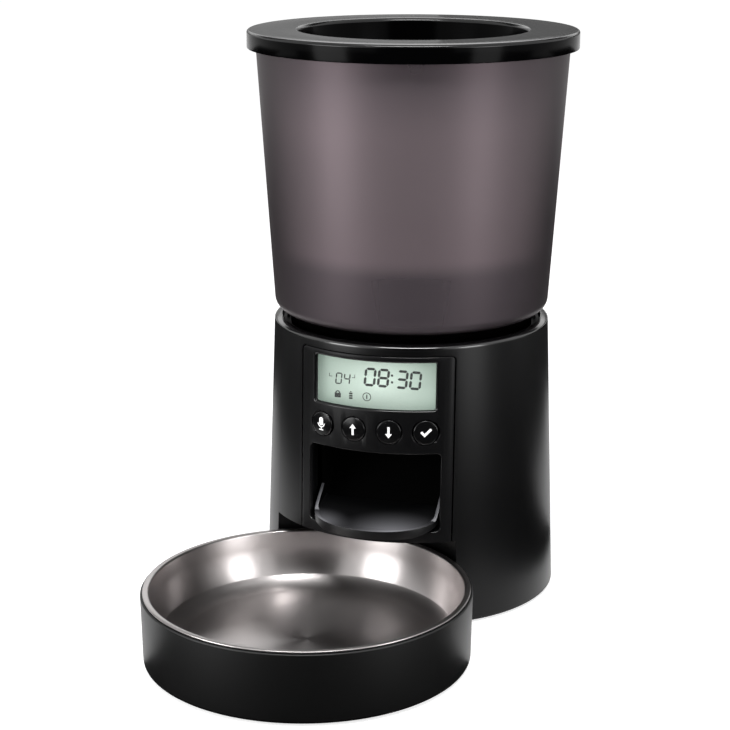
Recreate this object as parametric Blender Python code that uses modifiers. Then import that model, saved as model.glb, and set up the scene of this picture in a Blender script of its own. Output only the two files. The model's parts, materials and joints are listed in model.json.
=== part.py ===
"""Programmable pet feeder: a round drafted base with a control panel, chute and drive,
a see-through food hopper with a welled lid, and a steel bowl in its own holder.

Metres, +Z up, front towards -Y. The frame's origin is under the middle of the whole
object, at the surface it stands on. The feeder's own axis and the bowl's own axis each
have an empty, and every piece is placed from one of the two.
"""

import math

import bmesh
import bpy
from mathutils import Matrix, Vector

# Fits and drawing steps
FIT_GAP = 0.0003
PLAY = 0.0008
OVERRUN = 0.004
WELD = 0.00001
LARGE_SIDES = 36
MEDIUM_SIDES = 16
SMALL_SIDES = 12
SCREW_SIDES = 8
CORNER_STEPS = 2

# Base case: a drafted shell, wider at the foot
CASE_TOP_RADIUS = 0.080
CASE_FOOT_RADIUS = 0.086
CASE_HEIGHT = 0.163
CASE_WALL = 0.0025
FOOT_LIFT = 0.0012
FOOT_EDGE = 0.0010
RIM_WIDTH = 0.0044
RIM_ROUND = 0.0020
RIM_DEPTH = 0.0045

# Bowl and its holder
BOWL_DISTANCE = 0.135
BOWL_ASIDE = 0.020
HOLDER_RADIUS = 0.090
HOLDER_DRAFT = 0.0008
HOLDER_HEIGHT = 0.0395
HOLDER_WALL = 0.0034
HOLDER_FLOOR = 0.0023
HOLDER_ROUND = 0.0020
BOWL_RIM_INSET = 0.0012
BOWL_RIM_WIDTH = 0.0034
BOWL_METAL = 0.0009
BOWL_DEPTH = 0.0315
BOWL_FLOOR_ROUND = 0.0150
BOWL_WALL_LEAN = 0.0024
GRIP_INSET = 0.0150
GRIP_WIDTH = 0.0060
GRIP_HEIGHT = 0.0021

# Niche in the case for the back of the holder
NICHE_GAP = 0.0030
NICHE_HEADROOM = 0.0105

# Front panel, flush with the case
PANEL_HALF_WIDTH = 0.0443
PANEL_LIFT = 0.0007
PANEL_DROP = 0.0065
PANEL_ROUND = 0.0024
PANEL_SEAM = 0.0005
PANEL_WALL = 0.0022
PANEL_FLANGE = 0.0030
FLANGE_WALL = 0.0014
PANEL_FRAME = 0.0025
WINDOW_HALF_WIDTH = 0.0353
WINDOW_MARGIN = 0.0021
WINDOW_HEIGHT = 0.0294
WINDOW_ROUND = 0.0016
CHUTE_HALF_WIDTH = 0.0384
CHUTE_MARGIN = 0.0030
CHUTE_BELOW_BUTTONS = 0.0126
CHUTE_ROUND = 0.0026
COLLAR_WALL = 0.0016
COLLAR_INSET = 0.0200
LENS_INSET = 0.0010
LENS_WALL = 0.0012
LENS_LEDGE = 0.0015

# Buttons
BUTTON_RADIUS = 0.0069
BUTTON_HOLE_GAP = 0.0004
BUTTON_BELOW_WINDOW = 0.0110
BUTTON_SPREAD = math.radians(14.4)
BUTTON_PROUD = 0.0006
BUTTON_DOME = 0.0005
DOME_SHOULDER_SHARE = 0.75
BUTTON_FLANGE_WIDTH = 0.0017
BUTTON_FLANGE = 0.0009
BUTTON_DROP = 0.0009
BUTTON_STEM_RADIUS = 0.0022
BUTTON_TRAVEL = 0.0008

# Display, its holder and the control board
SCREEN_MARGIN = 0.0009
SCREEN_DEPTH = 0.0022
SCREEN_BORDER = 0.0050
SCREEN_HOLDER_DEPTH = 0.0020
SCREEN_HOLDER_WALL = 0.0030
BOARD_DEPTH = 0.0016
BOARD_BELOW_BUTTONS = 0.0080
SWITCH_HALF_WIDTH = 0.0030
SWITCH_BODY = 0.0028
SWITCH_NUB_RADIUS = 0.0016
SWITCH_NUB = 0.0010
CAPSULE_RADIUS = 0.0030
CAPSULE_DEPTH = 0.0030

# Deck with the feed cup
DECK_THICKNESS = 0.0023
CUP_RADIUS = 0.0570
CUP_WALL = 0.0020
CUP_DEPTH = 0.0171
CUP_FLOOR = 0.0022
OUTLET_HALF_WIDTH = 0.0240
OUTLET_MARGIN = 0.0075
OUTLET_LENGTH = 0.0200
OUTLET_ROUND = 0.0040
COLLAR_HEIGHT = 0.0032
COLLAR_THICKNESS = 0.0018
KEY_COUNT = 3
KEY_WIDTH = 0.0100
KEY_REACH = 0.0016

# Posts that carry the deck and the floor
POST_WIDTH = 0.0072
POST_ROUND = 0.0034
DECK_POST_GAP = 0.0012
DECK_POST_LENGTH = 0.0357
DECK_POST_ANGLES = [math.radians(angle) for angle in (45, 135, 218, 322)]
FLOOR_POST_INSET = 0.0170
FLOOR_POST_HEIGHT = 0.0160
FLOOR_POST_ANGLES = [math.radians(angle) for angle in (52, 128, 193, 332)]
SCREW_RADIUS = 0.0012
SCREW_HEAD_RADIUS = 0.0025
SCREW_HEAD = 0.0016
SCREW_LENGTH = 0.0080

# Chute: drop tube, ramp and tongue
CHUTE_WALL = 0.0016
TUBE_MARGIN = 0.0020
RAMP_SIDE_GAP = 0.0024
RAMP_BACK_DROP = 0.0024
RAMP_KNEE_RISE = 0.0050
RAMP_KNEE_INSET = 0.0030
TONGUE_OVERHANG = 0.0122
TONGUE_NOSE = 0.0260
TONGUE_LIP_RISE = 0.0038
TONGUE_LIP_DEPTH = 0.0014
TONGUE_FLOOR = 0.0018
TONGUE_SKIRT = 0.0044
TONGUE_TURN = 0.0080
TONGUE_SHOULDER = 0.0220
TONGUE_SHOULDER_RISE = 0.0018
TONGUE_WALL_RISE = 0.0130
NOSE_STEPS = 16

# Floor plate, feet and battery compartment
FLOOR_THICKNESS = 0.0024
FOOT_RADIUS = 0.0060
FOOT_HEIGHT = 0.0023
FOOT_INSET = 0.0150
FOOT_ANGLES = [math.radians(angle) for angle in (31, 149, 210, 318)]
BATTERY_RADIUS = 0.0165
BATTERY_LENGTH = 0.0610
BATTERY_NUB = 0.0015
BATTERY_NUB_RADIUS = 0.0045
BATTERY_COUNT = 3
BATTERY_SPACE = 0.0015
BAY_MARGIN = 0.0040
BAY_WALL = 0.0015
BAY_HEADROOM = 0.0040
BAY_ROUND = 0.0030
DOOR_THICKNESS = 0.0021
DOOR_LEDGE = 0.0015
SPRING_LENGTH = 0.0073
CONTACT_THICKNESS = 0.0005
CONTACT_HALF_WIDTH = 0.0080
CONTACT_SPRING_RADIUS = 0.0060
CONTACT_SPRING_TIP_RADIUS = 0.0030

# Speaker and power inlet
SPEAKER_BACK = 0.0080
SPEAKER_RADIUS = 0.0140
SPEAKER_RIM = 0.0020
SPEAKER_MAGNET_RADIUS = 0.0075
SPEAKER_MAGNET = 0.0045
GRILLE_SLOTS = 5
GRILLE_SLOT_WIDTH = 0.0016
GRILLE_SLOT_PITCH = 0.0040
GRILLE_SLOT_HALF_LENGTH = 0.0080
SOCKET_HEIGHT = 0.0600
SOCKET_HALF_WIDTH = 0.0048
SOCKET_LENGTH = 0.0120
SOCKET_NOSE_RADIUS = 0.0046
SOCKET_BORE_RADIUS = 0.0032
SOCKET_BORE_DEPTH = 0.0095
SOCKET_PIN_RADIUS = 0.0010

# Drive: motor, gears, shaft and rotor
GEAR_MODULE = 0.00125
ADDENDUM_SHARE = 0.90
DEDENDUM_SHARE = 1.10
TOOTH_ROOT_SHARE = 0.33
TOOTH_TIP_SHARE = 0.10
PINION_TEETH = 10
IDLER_LARGE_TEETH = 28
IDLER_SMALL_TEETH = 10
DRIVE_TEETH = 32
GEAR_THICKNESS = 0.0040
GEAR_GAP = 0.0010
IDLER_ANGLE = math.radians(45)
SHAFT_RADIUS = 0.0040
SHAFT_HEX_MARGIN = 0.0004
BUSH_WALL = 0.0020
BUSH_FLANGE = 0.0020
BUSH_FLANGE_THICKNESS = 0.0012
IDLER_PIN_RADIUS = 0.0015
TRAY_FLOOR = 0.0016
TRAY_WALL = 0.0016
TRAY_MARGIN = 0.0012
TRAY_ROUND = 0.0100
MOTOR_RADIUS = 0.0120
MOTOR_LENGTH = 0.0300
MOTOR_NOSE_RADIUS = 0.0035
MOTOR_NOSE = 0.0012
MOTOR_SHAFT_RADIUS = 0.0012
ROTOR_TIP_GAP = 0.0015
ROTOR_HUB_RADIUS = 0.0150
ROTOR_PADDLES = 6
PADDLE_THICKNESS = 0.0024
STIRRER_INSET = 0.0015
STIRRER_HEIGHT = 0.0120
STIRRER_BASE = 0.0030
FINGER_COUNT = 3
FINGER_RADIUS = 0.0028
FINGER_TIP_RADIUS = 0.0018
FINGER_LENGTH = 0.0260
FINGER_LEAN = math.radians(42)
BAFFLE_THICKNESS = 0.0018
BAFFLE_MARGIN = 0.0030
BAFFLE_BACK = 0.0105
BAFFLE_TAB = 0.0070

# Hopper: tapered see-through shell that stands in the deck's collar
HOPPER_GAP = 0.0065
HOPPER_HEIGHT = 0.1553
HOPPER_TOP_RADIUS = 0.0894
HOPPER_FOOT_INSET = 0.0008
HOPPER_WALL = 0.0020
HOPPER_FOOT_ROUND = 0.0060
COLLAR_LEDGE = 0.0006
FUNNEL_HEIGHT = 0.0370
FUNNEL_KNEE_RISE = 0.0040
FUNNEL_MOUTH_INSET = 0.0010
FUNNEL_WALL = 0.0016

# Lid with its well, seal and desiccant holder
LID_OVERHANG = 0.0046
LID_SEAT = 0.0006
LID_SIDE = 0.0100
LID_WALL = 0.0022
LID_ROUND = 0.0016
WELL_RADIUS = 0.0650
WELL_DRAFT = 0.0015
WELL_DEPTH = 0.0146
WELL_EDGE_ROUND = 0.0018
WELL_FLOOR_ROUND = 0.0030
SKIRT_GAP = 0.0025
SKIRT_WALL = 0.0020
SKIRT_DEPTH = 0.0162
SEAL_HEIGHT = 0.0034
SEAL_RISE = 0.0014
SEAL_SEAT = 0.0006
DRYER_RADIUS = 0.0270
DRYER_WALL = 0.0014
DRYER_DEPTH = 0.0080
DRYER_COVER = 0.0016
DRYER_SLOTS = 5
DRYER_SLOT_WIDTH = 0.0022
DRYER_SLOT_PITCH = 0.0072

# Places that follow from the sizes above: heights of the case, panel and chute
NICHE_TOP = HOLDER_HEIGHT + NICHE_HEADROOM
PANEL_BOTTOM = NICHE_TOP + CASE_WALL + PANEL_LIFT
PANEL_TOP = CASE_HEIGHT - PANEL_DROP
WINDOW_TOP = PANEL_TOP - WINDOW_MARGIN
WINDOW_BOTTOM = WINDOW_TOP - WINDOW_HEIGHT
BUTTON_HEIGHT = WINDOW_BOTTOM - BUTTON_BELOW_WINDOW
CHUTE_BOTTOM = PANEL_BOTTOM + CHUTE_MARGIN
CHUTE_TOP = BUTTON_HEIGHT - CHUTE_BELOW_BUTTONS
DECK_TOP = CASE_HEIGHT - RIM_DEPTH - FIT_GAP
DECK_UNDERSIDE = DECK_TOP - DECK_THICKNESS
CUP_FLOOR_TOP = DECK_TOP - CUP_DEPTH
CUP_UNDERSIDE = CUP_FLOOR_TOP - CUP_FLOOR
TONGUE_LIP_TOP = CHUTE_BOTTOM + TONGUE_LIP_RISE
FLOOR_TOP = FOOT_LIFT + FLOOR_THICKNESS

# Hopper and lid heights and radii
HOPPER_BOTTOM = CASE_HEIGHT + HOPPER_GAP
HOPPER_TOP = HOPPER_BOTTOM + HOPPER_HEIGHT
HOPPER_FOOT_RADIUS = CASE_TOP_RADIUS - HOPPER_FOOT_INSET
COLLAR_RADIUS = CASE_TOP_RADIUS - RIM_WIDTH - FIT_GAP - COLLAR_LEDGE
COLLAR_INNER_RADIUS = COLLAR_RADIUS - COLLAR_THICKNESS
NECK_RADIUS = COLLAR_INNER_RADIUS - PLAY - KEY_REACH
NECK_INNER_RADIUS = NECK_RADIUS - HOPPER_WALL
NECK_BOTTOM = DECK_TOP + FIT_GAP
FUNNEL_TOP = HOPPER_BOTTOM + FUNNEL_HEIGHT
FUNNEL_KNEE = HOPPER_BOTTOM + FUNNEL_KNEE_RISE
FUNNEL_MOUTH_RADIUS = CUP_RADIUS - FUNNEL_MOUTH_INSET
LID_RADIUS = HOPPER_TOP_RADIUS + LID_OVERHANG
LID_UNDERSIDE = HOPPER_TOP + LID_SEAT
LID_TOP = LID_UNDERSIDE + LID_WALL
WELL_FLOOR_TOP = LID_TOP - WELL_DEPTH
WELL_UNDERSIDE = WELL_FLOOR_TOP - LID_WALL
SKIRT_BOTTOM = LID_UNDERSIDE - SKIRT_DEPTH
SEAL_BOTTOM = SKIRT_BOTTOM + SEAL_RISE

# Where the two axes stand in the object's frame
LEFT_REACH = max(LID_RADIUS, BOWL_ASIDE + HOLDER_RADIUS)
AXIS_X = (LEFT_REACH - LID_RADIUS) / 2
AXIS_Y = (BOWL_DISTANCE + HOLDER_RADIUS - LID_RADIUS) / 2


def case_radius(height):
    """Outer radius of the drafted case at a height."""
    rise = (height - FOOT_LIFT) / (CASE_HEIGHT - FOOT_LIFT)
    return CASE_FOOT_RADIUS + (CASE_TOP_RADIUS - CASE_FOOT_RADIUS) * rise


def hopper_radius(height):
    """Outer radius of the tapered hopper at a height."""
    rise = (height - HOPPER_BOTTOM) / (HOPPER_TOP - HOPPER_BOTTOM)
    return HOPPER_FOOT_RADIUS + (HOPPER_TOP_RADIUS - HOPPER_FOOT_RADIUS) * rise


# Sizes that several pieces share
SKIRT_RADIUS = hopper_radius(SEAL_BOTTOM) - HOPPER_WALL - SKIRT_GAP
NICHE_RADIUS = HOLDER_RADIUS + NICHE_GAP
COLLAR_DEPTH = CASE_TOP_RADIUS - COLLAR_INSET
SCREEN_HALF_WIDTH = WINDOW_HALF_WIDTH + SCREEN_MARGIN
LENS_BACK_RADIUS = case_radius(WINDOW_TOP) - PANEL_WALL - FIT_GAP - LENS_WALL
SCREEN_FRONT = math.sqrt(LENS_BACK_RADIUS ** 2 - SCREEN_HALF_WIDTH ** 2) - PLAY
SCREEN_BACK = SCREEN_FRONT - SCREEN_DEPTH
SCREEN_BOTTOM = WINDOW_BOTTOM - SCREEN_BORDER
SCREEN_TOP = WINDOW_TOP - FIT_GAP
HOLDER_BACK = SCREEN_BACK - FIT_GAP - SCREEN_HOLDER_DEPTH
BOARD_FRONT = HOLDER_BACK - FIT_GAP
BOARD_BACK = BOARD_FRONT - BOARD_DEPTH
BOARD_BOTTOM = BUTTON_HEIGHT - BOARD_BELOW_BUTTONS
BOARD_TOP = DECK_UNDERSIDE - FIT_GAP
SWITCH_TOP = BOARD_FRONT + SWITCH_BODY + SWITCH_NUB
BUTTON_ANGLES = [BUTTON_SPREAD * step for step in (-1.5, -0.5, 0.5, 1.5)]
BUTTON_HOLE_RADIUS = BUTTON_RADIUS + BUTTON_HOLE_GAP
BUTTON_FLANGE_RADIUS = BUTTON_RADIUS + BUTTON_FLANGE_WIDTH
DECK_POST_INNER = CUP_RADIUS + CUP_WALL + DECK_POST_GAP
FLOOR_POST_INNER = CASE_FOOT_RADIUS - FLOOR_POST_INSET
OUTLET_FRONT = CUP_RADIUS - OUTLET_MARGIN
OUTLET_BACK = OUTLET_FRONT - OUTLET_LENGTH
TUBE_HALF_WIDTH = OUTLET_HALF_WIDTH + TUBE_MARGIN
TUBE_FRONT = OUTLET_FRONT + TUBE_MARGIN
TUBE_BACK = OUTLET_BACK - FIT_GAP
RAMP_HALF_WIDTH = CHUTE_HALF_WIDTH - RAMP_SIDE_GAP
RAMP_ROOF = CHUTE_TOP + CHUTE_WALL
RAMP_MOUTH = COLLAR_DEPTH - FIT_GAP
RAMP_KNEE = RAMP_MOUTH - RAMP_KNEE_INSET
RAMP_FLOOR_KNEE = TONGUE_LIP_TOP + RAMP_KNEE_RISE
RAMP_FLOOR_BACK = CHUTE_TOP - RAMP_BACK_DROP
TONGUE_REACH = case_radius(CHUTE_BOTTOM) + TONGUE_OVERHANG
FOOT_PLACES = []
for foot_angle in FOOT_ANGLES:
    foot_reach = CASE_FOOT_RADIUS - FOOT_INSET
    FOOT_PLACES.append((foot_reach * math.cos(foot_angle), foot_reach * math.sin(foot_angle)))
BATTERY_PITCH = BATTERY_RADIUS * 2 + BATTERY_SPACE
BAY_HALF_LENGTH = (BATTERY_LENGTH + SPRING_LENGTH) / 2 + CONTACT_THICKNESS + FIT_GAP * 2
BAY_FRONT = NICHE_RADIUS + CASE_WALL - BOWL_DISTANCE + BAY_MARGIN
BAY_BACK = BAY_FRONT + BATTERY_COUNT * BATTERY_PITCH + FIT_GAP * 2
BAY_HEIGHT = BATTERY_RADIUS * 2 + BAY_HEADROOM
SPEAKER_PLACE = ((BAY_HALF_LENGTH + BAY_WALL + CASE_FOOT_RADIUS - CASE_WALL) / 2, SPEAKER_BACK)
GEAR_STACK = BUSH_FLANGE_THICKNESS + GEAR_THICKNESS * 2 + GEAR_GAP * 3
GEAR_FLOOR = CUP_UNDERSIDE - FIT_GAP - GEAR_STACK
TRAY_BOTTOM = GEAR_FLOOR - TRAY_FLOOR
LOWER_GEAR = GEAR_FLOOR + GEAR_GAP
UPPER_GEAR = LOWER_GEAR + GEAR_THICKNESS + GEAR_GAP
IDLER_DISTANCE = GEAR_MODULE * (DRIVE_TEETH + IDLER_SMALL_TEETH) / 2
PINION_DISTANCE = GEAR_MODULE * (IDLER_LARGE_TEETH + PINION_TEETH) / 2
IDLER_PLACE = (IDLER_DISTANCE * math.cos(IDLER_ANGLE), IDLER_DISTANCE * math.sin(IDLER_ANGLE))
PINION_PLACE = (0, IDLER_PLACE[1] + math.sqrt(PINION_DISTANCE ** 2 - IDLER_PLACE[0] ** 2))
SHAFT_HEX_RADIUS = SHAFT_RADIUS + SHAFT_HEX_MARGIN
ROTOR_BOTTOM = CUP_FLOOR_TOP + PLAY
ROTOR_TOP = DECK_TOP - FIT_GAP
ROTOR_RADIUS = CUP_RADIUS - ROTOR_TIP_GAP
STIRRER_RADIUS = ROTOR_HUB_RADIUS - STIRRER_INSET


# Scene, collections and empties

def clear_scene():
    for thing in list(bpy.data.objects):
        bpy.data.objects.remove(thing, do_unlink=True)


def new_collection(name):
    collection = bpy.data.collections.new(name)
    bpy.context.scene.collection.children.link(collection)
    return collection


def new_axis(name, place):
    """An empty that stands on one of the object's upright axes."""
    axis = bpy.data.objects.new(name, None)
    axis.location = (place[0], place[1], 0)
    PARTS.objects.link(axis)
    return axis


clear_scene()
PARTS = new_collection("programmable_pet_feeder")
CUTTERS = new_collection("cutters")
FEEDER_AXIS = new_axis("feeder_axis", (AXIS_X, AXIS_Y))
BOWL_AXIS = new_axis("bowl_axis", (AXIS_X - BOWL_ASIDE, AXIS_Y - BOWL_DISTANCE))


# Materials

def finish(name, colour, roughness, metallic=0.0, alpha=1.0):
    """A Principled material; colour is linear red, green and blue."""
    material = bpy.data.materials.new(name)
    material.use_nodes = True
    shader = material.node_tree.nodes["Principled BSDF"]
    shader.inputs["Base Color"].default_value = (*colour, 1.0)
    shader.inputs["Roughness"].default_value = roughness
    shader.inputs["Metallic"].default_value = metallic
    shader.inputs["Alpha"].default_value = alpha
    return material


SATIN_BLACK = (0.012, 0.012, 0.013)
GLOSS_BLACK = (0.006, 0.006, 0.006)
SMOKE_BROWN = (0.10, 0.085, 0.075)
RUBBER_GREY = (0.03, 0.03, 0.03)
STEEL_GREY = (0.62, 0.58, 0.55)
BRASS_YELLOW = (0.60, 0.42, 0.16)
BOARD_GREEN = (0.02, 0.12, 0.05)
SCREEN_GREEN = (0.38, 0.52, 0.42)
GEAR_WHITE = (0.75, 0.74, 0.70)
CELL_COPPER = (0.45, 0.22, 0.08)


# Shapes as meshes

def rounded(corners, steps=CORNER_STEPS):
    """Outline points from corners (x, y, radius), with each radius drawn as an arc."""
    points = []
    for index, (x, y, radius) in enumerate(corners):
        if radius <= 0:
            points.append((x, y))
            continue
        here = Vector((x, y))
        before = (Vector(corners[index - 1][:2]) - here).normalized()
        after = (Vector(corners[(index + 1) % len(corners)][:2]) - here).normalized()
        half = before.angle(after) / 2
        centre = here + (before + after).normalized() * (radius / math.sin(half))
        start = here + before * (radius / math.tan(half)) - centre
        end = here + after * (radius / math.tan(half)) - centre
        sweep = math.copysign(math.pi - 2 * half, start.cross(end))
        for step in range(steps + 1):
            spoke = start.copy()
            spoke.rotate(Matrix.Rotation(sweep * step / steps, 2))
            points.append(tuple(centre + spoke))
    return points


def box_corners(low, high, radius=0.0):
    """A rectangle's corners, anticlockwise, for rounded()."""
    return [(low[0], low[1], radius), (high[0], low[1], radius),
            (high[0], high[1], radius), (low[0], high[1], radius)]


def circle_points(centre, radius, sides, turn=0.0):
    points = []
    for side in range(sides):
        angle = turn + math.tau * side / sides
        points.append((centre[0] + radius * math.cos(angle), centre[1] + radius * math.sin(angle)))
    return points


def mesh_from(name, made):
    bmesh.ops.recalc_face_normals(made, faces=made.faces)
    mesh = bpy.data.meshes.new(name)
    made.to_mesh(mesh)
    made.free()
    return mesh


def block(name, x_range, y_range, z_range):
    """A box between two values on each axis."""
    low = Vector((x_range[0], y_range[0], z_range[0]))
    high = Vector((x_range[1], y_range[1], z_range[1]))
    place = Matrix.Translation((low + high) / 2) @ Matrix.Diagonal((*(high - low), 1))
    made = bmesh.new()
    bmesh.ops.create_cube(made, size=1, matrix=place)
    return mesh_from(name, made)


def drum(name, radius, low, high, sides=SMALL_SIDES, place=(0, 0), top_radius=None):
    """An upright cylinder, or a cone when its top radius differs."""
    top = radius if top_radius is None else top_radius
    middle = Matrix.Translation((place[0], place[1], (low + high) / 2))
    made = bmesh.new()
    bmesh.ops.create_cone(made, cap_ends=True, segments=sides, radius1=radius, radius2=top,
                          depth=high - low, matrix=middle)
    return mesh_from(name, made)


FACING = {
    "Z": Matrix(((1, 0, 0), (0, 1, 0), (0, 0, 1))).to_4x4(),
    "Y": Matrix(((1, 0, 0), (0, 0, -1), (0, 1, 0))).to_4x4(),
    "X": Matrix(((0, 0, 1), (1, 0, 0), (0, 1, 0))).to_4x4(),
}


def flat(name, outlines, low, high, along="Z"):
    """Flat outlines, the later ones holes, made solid between two values of one axis."""
    curve = bpy.data.curves.new(name, 'CURVE')
    curve.dimensions = '2D'
    curve.fill_mode = 'BOTH'
    curve.extrude = (high - low) / 2
    for outline in outlines:
        spline = curve.splines.new('POLY')
        spline.points.add(len(outline) - 1)
        spline.use_cyclic_u = True
        for point, (u, v) in zip(spline.points, outline):
            point.co = (u, v, 0, 1)
    drawn = bpy.data.objects.new(name, curve)
    CUTTERS.objects.link(drawn)
    depsgraph = bpy.context.evaluated_depsgraph_get()
    mesh = bpy.data.meshes.new_from_object(drawn.evaluated_get(depsgraph))
    bpy.data.objects.remove(drawn, do_unlink=True)
    middle = (low + high) / 2
    if along == "Y":
        middle = -middle
    made = bmesh.new()
    made.from_mesh(mesh)
    bpy.data.meshes.remove(mesh)
    bmesh.ops.remove_doubles(made, verts=made.verts, dist=WELD)
    bmesh.ops.translate(made, verts=made.verts, vec=(0, 0, middle))
    bmesh.ops.transform(made, verts=made.verts, matrix=FACING[along])
    return mesh_from(name, made)


def together(name, meshes):
    """Several separate bodies in one mesh."""
    made = bmesh.new()
    for mesh in meshes:
        made.from_mesh(mesh)
        bpy.data.meshes.remove(mesh)
    mesh = bpy.data.meshes.new(name)
    made.to_mesh(mesh)
    made.free()
    return mesh


# Objects and their modifiers

def sub_part(name, mesh, material, axis, place=(0, 0, 0), turn=(0, 0, 0)):
    """A named piece of the object with its own material."""
    part = bpy.data.objects.new(name, mesh)
    PARTS.objects.link(part)
    part.parent = axis
    part.location = place
    part.rotation_euler = turn
    if not mesh.materials:
        mesh.materials.append(material)
        mesh.shade_smooth()
        mesh.set_sharp_from_angle(angle=math.radians(40))
    return part


def copies(name, mesh, material, axis, places):
    """Identical pieces that share one mesh, numbered from 1."""
    for number, (x, y) in enumerate(places, 1):
        sub_part(name + "_" + str(number), mesh, material, axis, (x, y, 0))


def tool(mesh, axis, place=(0, 0, 0), turn=(0, 0, 0)):
    """A cutting or joining body, left out of the object."""
    body = bpy.data.objects.new(mesh.name, mesh)
    CUTTERS.objects.link(body)
    body.parent = axis
    body.location = place
    body.rotation_euler = turn
    body.hide_render = True
    body.display_type = 'WIRE'
    return body


def profile_mesh(name, points):
    """A turned piece's profile at +X, closed unless both its ends lie on the axis."""
    mesh = bpy.data.meshes.new(name)
    edges = [(index, index + 1) for index in range(len(points) - 1)]
    if points[0][0] > 0 or points[-1][0] > 0:
        edges.append((len(points) - 1, 0))
    mesh.from_pydata([(radius, 0, height) for radius, height in points], edges, [])
    return mesh


def turn_profile(part, sides=LARGE_SIDES):
    screw = part.modifiers.new("turned", 'SCREW')
    screw.axis = 'Z'
    screw.steps = sides
    screw.render_steps = sides
    screw.use_merge_vertices = True
    screw.merge_threshold = WELD
    screw.use_smooth_shade = True
    return part


def turned(name, points, material, axis, sides=LARGE_SIDES):
    return turn_profile(sub_part(name, profile_mesh(name, points), material, axis), sides)


def turned_tool(name, points, axis, sides=LARGE_SIDES):
    return turn_profile(tool(profile_mesh(name, points), axis), sides)


def combine(part, body, operation):
    boolean = part.modifiers.new(body.name, 'BOOLEAN')
    boolean.object = body
    boolean.operation = operation
    boolean.solver = 'EXACT'
    return part


def cut(part, body):
    return combine(part, body, 'DIFFERENCE')


def fuse(part, body):
    return combine(part, body, 'UNION')


def keep_inside(part, body):
    return combine(part, body, 'INTERSECT')


def cone_tool(name, inset, low, high):
    """A solid that follows the case's draft, a distance inside its outer face."""
    points = [(0, high), (case_radius(high) - inset, high), (case_radius(low) - inset, low), (0, low)]
    return turned_tool(name, points, FEEDER_AXIS)


# Base case

def niche_drum(name, radius, top):
    """A drum on the bowl's axis, for the niche and what follows it."""
    return tool(drum(name, radius, -OVERRUN, top, LARGE_SIDES), BOWL_AXIS)


def post_body(name, angle, inner, low, high):
    """A post with a rib that runs out into the case's wall."""
    outer = case_radius(high) - CASE_WALL / 2
    half = POST_WIDTH / 2
    outline = rounded([(inner, -half, POST_ROUND), (outer, -half, 0),
                       (outer, half, 0), (inner, half, POST_ROUND)], 1)
    mesh = flat(name, [outline], low, high)
    mesh.transform(Matrix.Rotation(angle, 4, 'Z'))
    return mesh


def screw_place(angle, inner):
    """A screw's place in a post."""
    radius = inner + POST_WIDTH / 2
    return (radius * math.cos(angle), radius * math.sin(angle))


def base_housing():
    """The drafted case: rounded rim, niche for the bowl, panel window and inner posts."""
    rim_inner = CASE_TOP_RADIUS - RIM_WIDTH
    rim_arc = []
    for step in range(CORNER_STEPS + 1):
        angle = math.pi / 2 * step / CORNER_STEPS
        rim_arc.append((rim_inner + RIM_WIDTH * math.sin(angle),
                        CASE_HEIGHT - RIM_ROUND + RIM_ROUND * math.cos(angle)))
    foot_z = FOOT_LIFT + FOOT_EDGE
    rim_z = CASE_HEIGHT - RIM_DEPTH
    points = rim_arc + [
        (case_radius(foot_z), foot_z),
        (case_radius(FOOT_LIFT) - FOOT_EDGE, FOOT_LIFT),
        (case_radius(FOOT_LIFT) - CASE_WALL, FOOT_LIFT),
        (case_radius(rim_z) - CASE_WALL, rim_z),
        (rim_inner, rim_z),
    ]
    housing = turned("base_housing", points, finish("case_black", SATIN_BLACK, 0.38), FEEDER_AXIS)

    niche_wall = niche_drum("niche_wall", NICHE_RADIUS + CASE_WALL, NICHE_TOP + CASE_WALL)
    above = NICHE_TOP + CASE_WALL + OVERRUN
    keep_inside(niche_wall, cone_tool("niche_limit", CASE_WALL / 2, FOOT_LIFT, above))
    fuse(housing, niche_wall)

    posts = []
    for angle in DECK_POST_ANGLES:
        posts.append(post_body("deck_post", angle, DECK_POST_INNER, DECK_UNDERSIDE - DECK_POST_LENGTH,
                               DECK_UNDERSIDE - FIT_GAP))
    for angle in FLOOR_POST_ANGLES:
        posts.append(post_body("floor_post", angle, FLOOR_POST_INNER, FLOOR_TOP + FIT_GAP,
                               FLOOR_TOP + FLOOR_POST_HEIGHT))
    fuse(housing, tool(together("case_posts", posts), FEEDER_AXIS))

    cut(housing, niche_drum("niche_space", NICHE_RADIUS, NICHE_TOP))
    window = rounded(box_corners((-PANEL_HALF_WIDTH - PANEL_SEAM, PANEL_BOTTOM - PANEL_SEAM),
                                 (PANEL_HALF_WIDTH + PANEL_SEAM, PANEL_TOP + PANEL_SEAM),
                                 PANEL_ROUND + PANEL_SEAM))
    window_body = flat("panel_window", [window], -CASE_FOOT_RADIUS - OVERRUN, -COLLAR_DEPTH, "Y")
    cut(housing, tool(window_body, FEEDER_AXIS))

    holes = []
    for angle in DECK_POST_ANGLES:
        holes.append(drum("deck_screw_hole", SCREW_RADIUS + FIT_GAP, DECK_UNDERSIDE - SCREW_LENGTH,
                          DECK_TOP, SCREW_SIDES, screw_place(angle, DECK_POST_INNER)))
    for angle in FLOOR_POST_ANGLES:
        holes.append(drum("floor_screw_hole", SCREW_RADIUS + FIT_GAP, FOOT_LIFT,
                          FLOOR_TOP + SCREW_LENGTH, SCREW_SIDES, screw_place(angle, FLOOR_POST_INNER)))
    cut(housing, tool(together("case_screw_holes", holes), FEEDER_AXIS))

    round_hole = circle_points((0, SOCKET_HEIGHT), SOCKET_NOSE_RADIUS + FIT_GAP, SMALL_SIDES)
    inlet = flat("inlet_hole", [round_hole], case_radius(SOCKET_HEIGHT) - CASE_WALL - OVERRUN,
                 CASE_FOOT_RADIUS + OVERRUN, "Y")
    cut(housing, tool(inlet, FEEDER_AXIS))
    return housing


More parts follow.
